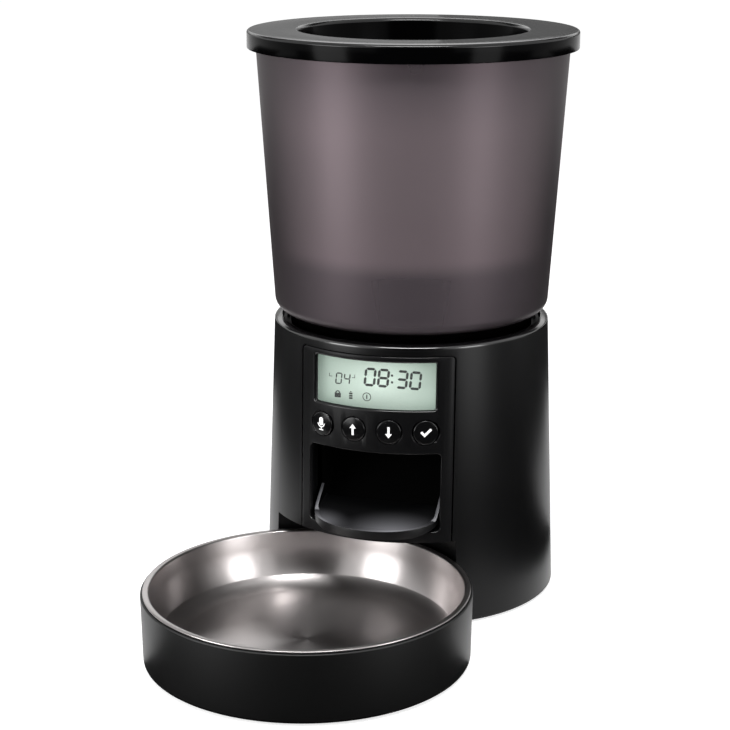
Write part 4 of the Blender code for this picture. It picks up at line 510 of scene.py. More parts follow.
def polish_above(material, height, roughness, specular):
    """Gives a moulded material a glossier finish from a height upwards."""
    shader, add = tools(material)
    up = add("SeparateXYZ", {"Vector": add("TexCoord").outputs["Object"]}).outputs["Z"]
    share = ramp(add, up, height - 0.5 * MM, height + 0.3 * MM)
    for name, value in (("Roughness", roughness), ("Specular IOR Level", specular)):
        socket = shader.inputs[name]
        below = socket.links[0].from_socket if socket.is_linked else socket.default_value
        mix = add("Mix", {"Factor": share, "A": below, "B": value})
        feed(shader, {name: mix.outputs["Result"]})
    return material


def paint_highlight_patches(material, patches, colour):
    """Lightens a plastic in soft patches of painted highlight, each with its middle and its half sizes.
    """
    shader, add = tools(material)
    for middle, half_sizes in patches:
        share = pool(add, middle, half_sizes, "QUADRATIC_SPHERE")
        plain = shader.inputs["Base Color"].links[0].from_socket
        feed(shader, {"Base Color": blend(add, share, plain, colour)})
    return material


def rubber(name, colour):
    """Matt rubber with a soft mottle."""
    material = moulded(name, colour, 0.8, 0.3, 0.25, 0.18)
    feed(tools(material)[0], {"Sheen Weight": 0.15})
    return material


def metal(name, colour, roughness, streak=1800.0, turned_about=None):
    """Bright metal with fine turning marks, either around an axis or along X."""
    material, shader, add = new_material(name)
    where = add("TexCoord").outputs["Object"]
    if turned_about is None:
        stretch = 30
        along = add("Mapping", {"Vector": where, "Scale": (1, stretch, stretch)})
        marks = noise(add, along.outputs["Vector"], streak / stretch)
    else:
        axis = (-turned_about[0], -turned_about[1], 0)
        centre = add("Mapping", {"Vector": where, "Location": axis}).outputs["Vector"]
        marks = add("TexWave", {"Vector": centre, "Scale": streak, "Distortion": 1.5, "Detail": 2.0},
                    wave_type="RINGS", rings_direction="Z").outputs["Fac"]
        around = add("VectorMath", {0: centre, 1: (0, 0, 1)}, operation="CROSS_PRODUCT")
        feed(shader, {"Tangent": around.outputs["Vector"], "Anisotropic": 0.7,
                      "Anisotropic Rotation": 0.25})
    cloud = noise(add, where, 22.0, 4.0)
    light = [value * 1.06 for value in colour]
    dark = [value * 0.92 for value in colour]
    feed(shader, {
        "Base Color": blend(add, cloud, dark, light),
        "Roughness": ramp(add, cloud, 0, 1, roughness - 0.04, roughness + 0.05),
        "Normal": relief(add, marks, 0.03, 0.05 * MM),
        "Metallic": 1.0,
    })
    return material


def smoky(name):
    """Smoke-tinted hazy plastic: thicker to look through towards its edges, with painted shade where
    the funnel stands behind it and in the lid's shadow below its brim, and painted black shade in its
    neck."""
    material, shader, add = new_material(name)
    where = add("TexCoord").outputs["Object"]
    height = add("SeparateXYZ", {"Vector": where}).outputs["Z"]
    facing = add("LayerWeight", {"Blend": 0.5}).outputs["Facing"]
    funnel_edge = (FUNNEL_HIGH.z - 8 * MM, FUNNEL_HIGH.z + 4 * MM)
    lid_shadow = (LID_LOW.z - 34 * MM, LID_LOW.z + 4 * MM)
    # Painted shade behind the funnel's rim and in the lid's shadow
    funnel_shade = ramp(add, height, *funnel_edge, 1.0, 0.0, "SMOOTHSTEP")
    lid_shade = ramp(add, height, *lid_shadow, 0.0, 0.75, "SMOOTHSTEP")
    deep = ramp(add, facing, 0.12, 0.75, ease="SMOOTHSTEP")
    # Below the foot the neck is painted black and loses its gloss: painted shade of the gap
    above_neck = ramp(add, height, HOPPER_FOOT - 0.9 * MM, HOPPER_FOOT - 0.2 * MM)
    tint = blend(add, noise(add, where, 11.0, 1.0), SMOKE_DARK, SMOKE_LIGHT)
    shaded = blend(add, maths(add, "MAXIMUM", funnel_shade, lid_shade), tint, SMOKE_PAINTED_SHADE)
    rimmed = blend(add, deep, shaded, SMOKE_RIM)
    feed(shader, {
        "Base Color": blend(add, above_neck, SMOKE_NECK_SHADE, rimmed),
        "Specular IOR Level": maths(add, "MULTIPLY", above_neck, SMOKE_SPECULAR),
        "Specular Tint": (*SMOKE_GLOSS, 1),
        "Alpha": ramp(add, facing, 0, 1, SMOKE_ALPHA, 1.0),
        "Roughness": 0.46,
        "Normal": relief(add, noise(add, where, 1500.0), 0.03, 0.05 * MM),
    })
    return material


def clear_pane(name):
    """The display's clear window: almost invisible, with a glossy face."""
    material, shader, add = new_material(name)
    cloud = noise(add, add("TexCoord").outputs["Object"], 60.0)
    tint = blend(add, cloud, (0.70, 0.76, 0.72), (0.78, 0.82, 0.80))
    feed(shader, {"Base Color": tint, "Roughness": 0.06, "Alpha": 0.03})
    return material


def display_glow(name):
    """The display's own face: grey-green, paler in the middle with painted shade towards its edges,
    and a painted glow in place of the light on it.
    """
    material, shader, add = new_material(name)
    middle = (SCREEN_LOW + SCREEN_HIGH) / 2
    share = pool(add, middle, (GLOW_WIDE, 0, GLOW_TALL), "SPHERICAL")
    colour = blend(add, share, DISPLAY_EDGE_SHADE, DISPLAY_MIDDLE)
    # Painted glow: the face gives off its own colour
    feed(shader, {"Base Color": colour, "Emission Color": colour, "Emission Strength": 0.62,
                  "Roughness": 0.35})
    return material


def white_ink_painted_glow(name):
    """White print with a faint painted glow, so that it stays bright in the shade."""
    white = (0.86, 0.86, 0.86)
    material = moulded(name, white, 0.5, 0.4, 0.0, 0.03)
    # Painted glow on the print
    feed(tools(material)[0], {"Emission Color": (*white, 1), "Emission Strength": 0.15})
    return material


def cell_wrap(name):
    """Plain copper-coloured battery wrap with a soft sheen."""
    material = metal(name, (0.45, 0.22, 0.08), 0.35)
    feed(tools(material)[0], {"Metallic": 0.7})
    return material


def case_black():
    """The case's satin black with its polished rim."""
    satin = moulded("case_black", (0.0018, 0.0018, 0.0020), 0.36, 0.17)
    return polish_above(satin, RIM_POLISH, 0.15, 0.9)


# A finish for each material slot, then the finishes of single faces and marks
LID_BLACK = (0.0006, 0.0006, 0.0007)
CHUTE_BLACK = (0.003, 0.003, 0.0033)
FINISHES = {
    "case": case_black(),
    "floor": moulded("floor_black", (0.007, 0.007, 0.0075), 0.6, 0.3, 0.1),
    "panel": moulded("panel_black", (0.0026, 0.0026, 0.0029), 0.36, 0.15),
    "buttons": moulded("button_black", (0.0028, 0.0028, 0.0030), 0.20, 0.16),
    "lens": clear_pane("lens_clear"),
    "display": display_glow("display_face"),
    "white_plastic": moulded("natural_white", (0.70, 0.69, 0.65), 0.45),
    "board": moulded("board_green", (0.015, 0.10, 0.04), 0.35),
    "steel": metal("plated_steel", (0.62, 0.60, 0.58), 0.30),
    "brass": metal("turned_brass", (0.60, 0.42, 0.16), 0.28),
    "inner_plastic": moulded("inner_black", (0.008, 0.008, 0.0085), 0.5, 0.3, 0.06),
    "chute": moulded("chute_gloss", CHUTE_BLACK, 0.34, 0.30, 0.01),
    "soft_rubber": rubber("soft_rubber", (0.022, 0.022, 0.022)),
    "rotor_rubber": rubber("rotor_rubber", (0.085, 0.085, 0.085)),
    "cells": cell_wrap("cell_wrap"),
    "hopper_smoke": smoky("hopper_smoke"),
    "lid": moulded("lid_black", LID_BLACK, 0.16, 0.035, 0.01),
    "holder": moulded("holder_black", (0.0010, 0.0010, 0.0011), 0.46, 0.42),
    "bowl_steel": metal("bowl_steel", (0.47, 0.445, 0.44), 0.30, 900.0, (BOWL.x, BOWL.y)),
}
LID_TOP = moulded("lid_top", LID_BLACK, 0.11, 0.075, 0.01)
LID_EDGE = moulded("lid_edge", LID_BLACK, 0.22, 0.40, 0.0)
# The scoop's floor: chute black with painted highlight patches
LIP_FLOOR_SHEEN = moulded("lip_floor", CHUTE_BLACK, 0.34, 0.16, 0.01)
paint_highlight_patches(LIP_FLOOR_SHEEN, LIP_HIGHLIGHT_PATCHES, LIP_PAINTED_SHEEN)
# The lip's edges: a glossier finish, and a grey colour that is a painted highlight line
LIP_GLOSS_HIGHLIGHT = moulded("lip_gloss_highlight", (0.10, 0.10, 0.11), 0.22, 1.0, 0.0)
EDGE_GLOSS = moulded("edge_gloss", CHUTE_BLACK, 0.14, 0.35, 0.0)
# Painted shade: the chute's inside behind the panel, darker and without gloss
CHUTE_INSIDE_SHADE = moulded("chute_inside_shade", (0.001, 0.001, 0.001), 0.9, 0.02, 0.0)
WHITE_INK_GLOW = white_ink_painted_glow("white_ink_painted_glow")
DISPLAY_INK = moulded("display_ink", (0.012, 0.016, 0.014), 0.5, 0.2, 0.0)


def finish(piece, slot, body, *nodes, material=None):
    """Gives a piece its material and its body, and hides the nodes that it stands for."""
    piece.data.materials.clear()
    piece.data.materials.append(material or FINISHES[slot])
    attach(piece, body)
    if nodes:
        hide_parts(*nodes)
    return piece


# Lid

def lid_shell():
    """Flat ring round a deep well, outer side and inner skirt."""
    top, foot = LID_HIGH.z, LID_LOW.z
    wall = 2.2 * MM
    under = top - wall
    well = 65 * MM
    well_floor = 313 * MM
    edge = (LID_HIGH.x - LID_LOW.x) / 2
    side_foot = top - 10 * MM
    skirt = hopper_radius(310.6 * MM) - 4.5 * MM
    skirt_wall = 2 * MM
    rings = [
        (well - 1.5 * MM, well_floor, 3 * MM), (well, top, 1.8 * MM), (edge, top, 1.6 * MM),
        (edge, side_foot, 0.4 * MM), (edge - wall, side_foot, 0.4 * MM),
        (edge - wall, under, 0.8 * MM), (skirt, under, 0.6 * MM), (skirt, foot, 0.4 * MM),
        (skirt - skirt_wall, foot, 0.4 * MM), (skirt - skirt_wall, under, 0.6 * MM),
        (well + wall, under, 0.6 * MM), (well + 0.7 * MM, well_floor - wall, 3 * MM),
    ]
    return turned("lid_shell", FEEDER, rings, closed=False)


def polish_top(piece):
    """The lid's flat top and its rounded edges take glossier finishes."""
    lowest = LID_HIGH.z - 3 * MM
    sloping, flat = 0.12, 0.97
    piece.data.materials.append(LID_TOP)
    piece.data.materials.append(LID_EDGE)
    for face in piece.data.polygons:
        if face.center.z > lowest and face.normal.z > sloping:
            face.material_index = 1 if face.normal.z > flat else 2


# Hopper

def hopper_shell():
    """Tapered see-through shell with a rounded foot and a neck."""
    top, foot, neck_foot = HOPPER_HIGH.z, HOPPER_FOOT, HOPPER_LOW.z
    wall = 2 * MM
    inner_foot = foot + wall
    neck = 70.5 * MM
    rings = [
        (HOPPER_TOP_RADIUS, top, 0.4 * MM), (hopper_radius(foot), foot, 6.5 * MM),
        (neck, foot, 0.4 * MM), (neck, neck_foot, 0.3 * MM), (neck - wall, neck_foot, 0.3 * MM),
        (neck - wall, inner_foot, 0.4 * MM), (hopper_radius(inner_foot) - wall, inner_foot, 4 * MM),
        (HOPPER_TOP_RADIUS - wall, top, 0.4 * MM),
    ]
    return turned("hopper_shell", FEEDER, rings)


def funnel_shell():
    """The black cone in the hopper's foot."""
    top, foot = FUNNEL_HIGH.z, FUNNEL_LOW.z
    outer = (FUNNEL_HIGH.x - FUNNEL_LOW.x) / 2
    mouth = 56 * MM
    wall = 1.6 * MM
    knee = HOPPER_FOOT + 4 * MM
    rings = [
        (outer, top, 0.3 * MM), (outer - 0.3 * MM, top - wall, 0), (mouth + wall, knee, 2 * MM),
        (mouth + wall, foot, 0.3 * MM), (mouth, foot, 0.3 * MM), (mouth, knee + wall / 2, 3 * MM),
        (outer - 2 * wall, top, 0.3 * MM),
    ]
    return turned("funnel_shell", FEEDER, rings)


# Bowl and its holder

def bowl_dish():
    """The pressed steel bowl: rolled rim, steep wall and a wide corner round."""
    top = BOWL_HIGH.z
    wall = 0.9 * MM
    edge = (BOWL_HIGH.x - BOWL_LOW.x) / 2
    mouth = edge - 3.4 * MM
    flank = mouth - 1.4 * MM
    flank_foot = top - 18.5 * MM
    corner = mouth - 9.4 * MM
    floor = top - 31.5 * MM
    rings = [
        (corner / 3, floor, 0), (corner * 2 / 3, floor + 0.3 * MM, 20 * MM),
        (corner, floor + 1.0 * MM, 8 * MM), (flank, flank_foot, 10 * MM), (mouth, top, 1.0 * MM),
        (edge, top, 0.4 * MM), (edge, top - wall, 0.3 * MM), (mouth + wall, top - wall, 0.6 * MM),
        (flank + wall, flank_foot - wall / 3, 10 * MM), (corner + wall / 2, floor - wall, 8.9 * MM),
    ]
    return turned("bowl_dish", BOWL, rings, closed=False)


def holder_shell():
    """The round holder with its drafted wall and the groove for its grip ring."""
    top, foot = HOLDER_HIGH.z, HOLDER_LOW.z
    outer = (HOLDER_HIGH.x - HOLDER_LOW.x) / 2
    inner = outer - 3.4 * MM
    draft = 0.8 * MM
    floor = foot + 2.3 * MM
    groove = outer - 15 * MM + FIT_GAP
    groove_inner = groove - 6.6 * MM
    groove_top = 2.4 * MM
    rings = [
        (inner - draft, floor, 2 * MM), (inner, top, 0.5 * MM), (outer, top, 0.7 * MM),
        (outer - draft, foot, 2 * MM), (groove, foot, 0.3 * MM), (groove, groove_top, 0),
        (groove_inner, groove_top, 0), (groove_inner, foot, 0.3 * MM),
    ]
    return turned("holder_shell", BOWL, rings, closed=False)


# Case

def niche_space():
    """The room that the bowl's holder slides into, for cutting."""
    middle = (BOWL.x, BOWL.y, NICHE_TOP / 2 - OVERRUN)
    return rod("niche_space", middle, NICHE_RADIUS, NICHE_TOP + 2 * OVERRUN, sides=SIDES)


def case_shell():
    """The drafted case: rounded rim, niche for the bowl, window for the panel and inlet hole."""
    top, foot = CASE_HIGH.z, CASE_LOW.z
    rim_inner = CASE_TOP_RADIUS - RIM_WIDTH
    rim_low = top - RIM_DEPTH
    rings = [(rim_inner, top)]
    steps = 10
    for step in range(1, steps + 1):
        angle = math.pi / 2 * step / steps
        height = top - RIM_ROUND + RIM_ROUND * math.cos(angle)
        rings.append((rim_inner + RIM_WIDTH * math.sin(angle), height))
    rings += [
        (CASE_FOOT_RADIUS, foot, 1.0 * MM), (CASE_FOOT_RADIUS - CASE_WALL, foot),
        (case_radius(rim_low) - CASE_WALL, rim_low - CASE_WALL), (rim_inner, rim_low),
    ]
    case = turned("case_shell", FEEDER, rings)

    wall_top = NICHE_TOP + CASE_WALL
    wall = rod("niche_wall", (BOWL.x, BOWL.y, wall_top / 2), NICHE_RADIUS + CASE_WALL, wall_top,
               sides=SIDES)
    combine(case, keep_inside(wall, CASE_WALL / 2, foot, NICHE_TOP + OVERRUN), "UNION")
    cut(case, niche_space())

    low = (-PANEL_HALF - PANEL_SEAM, PANEL_LOW.z - PANEL_SEAM)
    high = (PANEL_HALF + PANEL_SEAM, PANEL_HIGH.z + PANEL_SEAM)
    window = plate("panel_window", low, high, PANEL_CORNER + PANEL_SEAM, 0, CASE_FOOT_RADIUS / 2)
    cut(case, place(window, (FEEDER.x, FEEDER.y - CASE_FOOT_RADIUS - OVERRUN, 0)))
    slot_low = (low[0], NICHE_TOP - 2 * OVERRUN)
    slot_high = (high[0], low[1] + 2 * OVERRUN)
    slot = plate("panel_slot", slot_low, slot_high, PANEL_SEAM, -OVERRUN, PANEL_WALL + FIT_GAP)
    cut(case, wrap(slice_across(slot, low[0], high[0])))

    middle = (SOCKET_LOW + SOCKET_HIGH) / 2
    inlet = (middle.x, SOCKET_HIGH.y, middle.z)
    cut(case, rod("inlet_hole", inlet, INLET_RADIUS, 12 * MM, ABOUT_X))
    return settle(case, SHARP)


# Panel

def round_front(skin, low, high, margin, size, steps, outline=False):
    """Rounds the sharp edges on the flat panel's face that have both ends inside a rectangle
    or, for its own outline, neither end."""
    def wanted(edge):
        if not edge_is_sharp(edge) or any(abs(vertex.co.y) > TINY for vertex in edge.verts):
            return False
        inside = [low[0] - margin < vertex.co.x < high[0] + margin
                  and low[1] - margin < vertex.co.z < high[1] + margin for vertex in edge.verts]
        return not any(inside) if outline else all(inside)

    pick(skin, "EDGE", wanted)
    round_edges(size, steps)


def panel_skin():
    """The curved inlay, drawn flat with its openings and then laid on the case."""
    low, high = (-PANEL_HALF, NICHE_TOP - 2 * OVERRUN), (PANEL_HALF, PANEL_HIGH.z)
    skin = plate("panel_skin", low, high, PANEL_CORNER, 0, PANEL_WALL)
    window = [(-WINDOW_HALF + WINDOW_LIP, WINDOW_BOTTOM + WINDOW_LIP),
              (WINDOW_HALF - WINDOW_LIP, WINDOW_TOP - WINDOW_LIP)]
    opening = [(-OPENING_HALF, OPENING_BOTTOM), (OPENING_HALF, OPENING_TOP)]
    holes = [(low[0], BUTTON_HEIGHT - BUTTON_HOLE - SNUG), (high[0], BUTTON_HEIGHT + BUTTON_HOLE + SNUG)]
    cut(skin, plate("window", *window, WINDOW_CORNER, -OVERRUN, PANEL_WALL + OVERRUN))
    cut(skin, plate("opening", *opening, OPENING_CORNER, -OVERRUN, PANEL_WALL + OVERRUN))
    for angle in BUTTON_ANGLES:
        middle = (case_radius(BUTTON_HEIGHT) * math.sin(angle), PANEL_WALL / 2, BUTTON_HEIGHT)
        cut(skin, rod("button_hole", middle, BUTTON_HOLE, PANEL_WALL + OVERRUN, ABOUT_X))
    edit(skin)
    round_front(skin, *window, SNUG, WINDOW_LIP, 6)
    round_front(skin, *opening, SNUG, OPENING_EDGE, 4)
    round_front(skin, *holes, -MM, PANEL_EDGE, 3)
    round_front(skin, low, high, -PANEL_CORNER, PANEL_EDGE, 3, outline=True)
    wrap(slice_across(skin, low[0], high[0]))
    return settle(cut(skin, niche_space()), SHARP)


def chute_collar():
    """The short straight-walled collar behind the panel that leads to the chute."""
    wall = 1.6 * MM
    depth = 24 * MM
    inner_end = 60 * MM
    bore_low, bore_high = (-OPENING_HALF, OPENING_BOTTOM), (OPENING_HALF, OPENING_TOP)
    low = (bore_low[0] - wall, bore_low[1] - wall)
    high = (bore_high[0] + wall, bore_high[1] + wall)
    collar = plate("chute_collar", low, high, OPENING_CORNER + wall, 0, depth)
    cut(collar, plate("collar_bore", bore_low, bore_high, OPENING_CORNER, -OVERRUN, depth + OVERRUN))
    place(collar, (FEEDER.x, FEEDER.y - inner_end - depth, 0))
    return settle(keep_inside(collar, PANEL_WALL, 0, CASE_HIGH.z), SHARP)


def display_window():
    """The clear curved pane in the window with its hidden ledge."""
    half = WINDOW_HALF - WINDOW_LIP - FIT_GAP
    ledge = 2.4 * MM
    low = (-half - ledge, WINDOW_BOTTOM + WINDOW_LIP + FIT_GAP - ledge)
    high = (half + ledge, WINDOW_TOP - WINDOW_LIP - FIT_GAP + ledge / 4)
    face_depth = 1.4 * MM
    front = PANEL_WALL + FIT_GAP
    back = 3.7 * MM
    pane = plate("display_window", low, high, WINDOW_CORNER, front, back)
    sink_front(pane, ledge, face_depth - front)
    slice_across(pane, low[0], high[0], 2.4 * MM)
    return settle(wrap(pane), SHARP)


def polish_edges(piece):
    """Rounded edges that face between forwards and sideways take the glossier finish."""
    sideways, forwards = 0.15, 0.955
    piece.data.materials.append(EDGE_GLOSS)
    for face in piece.data.polygons:
        outward = Vector((face.center.x - FEEDER.x, face.center.y - FEEDER.y, 0)).normalized()
        if sideways < face.normal.dot(outward) < forwards:
            face.material_index = len(piece.data.materials) - 1


# Buttons: drawn lying flat with the face up, then stood up in the panel

def button_cap(name):
    """A round cap with a softly domed face, a hidden flange and a stem."""
    radius, flange, stem = BUTTON_RADIUS, BUTTON_RADIUS + 1.7 * MM, 2.2 * MM
    stem_foot = -9.2 * MM
    flange_foot = -4.0 * MM
    flange_top = -3.1 * MM
    face = 0.45 * MM
    dome = 0.65 * MM
    rings = [(stem, stem_foot), (stem, flange_foot), (flange, flange_foot), (flange, flange_top),
             (radius, flange_top), (radius, face, face)]
    steps = 6
    for step in range(1, steps):
        share = step / steps
        rings.append((radius * (1 - share), face + dome * math.sin(share * math.pi / 2)))
    return turned(name, (0, 0), rings, FINE_SIDES, closed=False)


def arrow_points(size, way):
    """A plain block arrow that points up for 1 and down for -1."""
    shares = [(0, 0.5), (0.30, 0.12), (0.10, 0.12), (0.10, -0.5),
              (-0.10, -0.5), (-0.10, 0.12), (-0.30, 0.12)]
    return [(x * size, y * size * way) for x, y in shares]


def tick_points(size):
    """A plain tick."""
    shares = [(-0.5, 0.02), (-0.36, 0.18), (-0.12, -0.06), (0.38, 0.42), (0.52, 0.28), (-0.12, -0.36)]
    return [(x * size, y * size) for x, y in shares]


def arc_points(radius, start, end, steps, middle=(0, 0)):
    angles = [start + (end - start) * step / steps for step in range(steps + 1)]
    return [(middle[0] + radius * math.cos(angle), middle[1] + radius * math.sin(angle))
            for angle in angles]


def rectangle(left, low, right, high):
    return [(left, low), (right, low), (right, high), (left, high)]


def microphone_sign(low, high):
    """A microphone: round-ended body in a cradle on a stem and foot."""
    middle, shoulder = (0, 0.5 * MM), (0, 2.6 * MM)
    body = arc_points(1.35 * MM, 0, math.pi, 16, shoulder)
    body += arc_points(1.35 * MM, math.pi, math.tau, 16, middle)
    cradle = arc_points(2.5 * MM, math.pi, math.tau, 20, middle)
    cradle += arc_points(1.9 * MM, math.tau, math.pi, 20, middle)
    stem = rectangle(-0.3 * MM, -3.1 * MM, 0.3 * MM, -1.9 * MM)
    foot = rectangle(-1.4 * MM, -3.6 * MM, 1.4 * MM, -3.05 * MM)
    parts = [slab("sign_part", points, low, high) for points in (body, cradle, stem, foot)]
    return join(parts, "sign")


def button_sign(name):
    """The white symbol on a button, a hair above its face."""
    low, high, size = 0.9 * MM, 1.14 * MM, 6.4 * MM
    outlines = {"button_up": arrow_points(size, 1), "button_down": arrow_points(size, -1),
                "button_confirm": tick_points(size)}
    outline = outlines.get(name)
    sign = slab("sign", outline, low, high) if outline else microphone_sign(low, high)
    sign.name = name + "_sign"
    return sign


def buttons():
    """Each cap and its symbol, standing on the case at the button's own angle."""
    for name, angle in zip(BUTTON_NAMES, BUTTON_ANGLES):
        where = round_case(angle, BUTTON_HEIGHT)
        turn = (math.pi / 2, 0, angle)
        polish_edges(finish(place(button_cap(name + "_cap"), where, turn), "buttons", name, name))
        sign = settle(place(button_sign(name), where, turn))
        finish(sign, "buttons", name, material=WHITE_INK_GLOW)


# Display

def segment(across, up, wide, tall):
    """One bar of a figure: a hexagon stretched along its longer side."""
    reach, half = max(wide, tall) / 2, min(wide, tall) / 2
    points = [(-reach, 0), (half - reach, half), (reach - half, half), (reach, 0),
              (reach - half, -half), (half - reach, -half)]
    if tall > wide:
        points = [(y, x) for x, y in points]
    return [(across + x, up + y) for x, y in points]


def figure_bars(figure, left, low, wide, tall, weight):
    """Outlines of the bars of one seven-bar figure."""
    gap = weight * 0.25
    right, top = left + wide, low + tall
    centre, middle = left + wide / 2, low + tall / 2
    upper, lower = middle + tall / 4, middle - tall / 4
    flat, upright = (wide - gap, weight), (weight, tall / 2 - gap)
    bars = {
        "a": (centre, top, *flat), "d": (centre, low, *flat), "g": (centre, middle, *flat),
        "b": (right, upper, *upright), "c": (right, lower, *upright),
        "e": (left, lower, *upright), "f": (left, upper, *upright),
    }
    return [lean(segment(*bars[bar]), low) for bar in SEGMENTS[figure]]


def lean(points, low):
    """Slants a figure's bar a little to the right."""
    return [(x + (y - low) * LEAN, y) for x, y in points]


def time_marks():
    """The large time with its colon, and the small count between its two corner marks."""
    low, tall = 135.9 * MM, 9.4 * MM
    outlines = []
    for figure, left in zip("0830", (-8.2 * MM, -0.4 * MM, 10.4 * MM, 18.2 * MM)):
        outlines += figure_bars(figure, left, low, 5.4 * MM, tall, 1.45 * MM)
    dot = 0.6 * MM
    for up in (low + tall * 0.28, low + tall * 0.70):
        outlines.append(rectangle(7.2 * MM, up - dot, 8.4 * MM, up + dot))
    for figure, left in zip("04", (-25.2 * MM, -20.4 * MM)):
        outlines += figure_bars(figure, left, 135.4 * MM, 3.1 * MM, 6.0 * MM, 0.7 * MM)
    corner_low = 139.2 * MM
    for outer, way in ((-29.0 * MM, 1), (-13.8 * MM, -1)):
        outlines.append(rectangle(outer, corner_low, outer + way * 1.8 * MM, corner_low + 0.3 * MM))
        outlines.append(rectangle(outer, corner_low, outer + way * 0.3 * MM, corner_low + 2.0 * MM))
    return outlines


def lock_sign(across, low):
    """A closed padlock."""
    body_half, body_top = 1.8 * MM, low + 2.7 * MM
    shackle = arc_points(1.4 * MM, 0, math.pi, 10, (across, body_top))
    shackle += arc_points(0.8 * MM, math.pi, 0, 10, (across, body_top))
    return [rectangle(across - body_half, low, across + body_half, body_top), shackle]


def cell_sign(across, low):
    """A battery: three level bars and its tip."""
    half, bar, step = 1.0 * MM, 0.95 * MM, 1.35 * MM
    tip_half, tip_low, tip_top = 0.4 * MM, low + 4.0 * MM, low + 4.5 * MM
    levels = [low + level * step for level in range(3)]
    bars = [rectangle(across - half, up, across + half, up + bar) for up in levels]
    return bars + [rectangle(across - tip_half, tip_low, across + tip_half, tip_top)]


def ring_sign(across, up):
    """A thin ring round an upright stroke."""
    outer, inner = 2.5 * MM, 2.1 * MM
    stroke, reach = 0.3 * MM, 1.3 * MM
    outlines = []
    for start in (0, math.pi):
        arc = arc_points(outer, start, start + math.pi, 20, (across, up))
        arc += arc_points(inner, start + math.pi, start, 20, (across, up))
        outlines.append(arc)
    outlines.append(rectangle(across - stroke, up - reach, across + stroke, up + reach))
    return outlines


def display():
    """The display's glass block and the dark figures on its face."""
    low, high = (SCREEN_LOW.x, SCREEN_LOW.z), (SCREEN_HIGH.x, SCREEN_HIGH.z)
    glass = plate("display_glass", low, high, 0.6 * MM, SCREEN_LOW.y, SCREEN_HIGH.y)
    sink_front(glass, 0.8 * MM, 0.1 * MM)
    slice_across(glass, low[0], high[0], 4 * MM)
    finish(settle(glass), "display", "base", "lcd_screen")
    outlines = time_marks() + lock_sign(-24.0 * MM, 127.2 * MM)
    outlines += cell_sign(-16.3 * MM, 126.9 * MM) + ring_sign(-6.9 * MM, 128.9 * MM)
    marks = join([slab("mark", points, 0, 0.1 * MM) for points in outlines], "display_marks")
    place(marks, (FEEDER.x, SCREEN_LOW.y + 0.08 * MM, 0), ABOUT_X)
    finish(settle(marks), "display", "base", material=DISPLAY_INK)


# Chute: side profiles cut to the tongue's plan

def plan_body(name, inset):
    """An upright body with straight sides and an elliptic nose towards the front."""
    half = CHUTE_HALF - inset
    nose = NOSE - inset
    height = CASE_HIGH.z
    nose_y = FEEDER.y - REACH + NOSE
    piece = rod(name, (FEEDER.x, nose_y, height / 2), half, height, sides=SIDES)
    edit(piece)
    bpy.ops.transform.resize(value=(1, nose / half, 1), center_override=(FEEDER.x, nose_y, 0))
    pick(piece, "VERT", lambda vertex: vertex.co.y > nose_y + TINY)
    bpy.ops.transform.translate(value=(0, REACH - NOSE, 0))
    put_down()
    return piece


def side_body(name, points, half):
    """A side profile of (forward, up) points, given its width across."""
    body = slab(name, [(-forward, up) for forward, up in points], -half, half)
    return place(body, (FEEDER.x, FEEDER.y, 0), (math.pi / 2, 0, math.pi / 2))


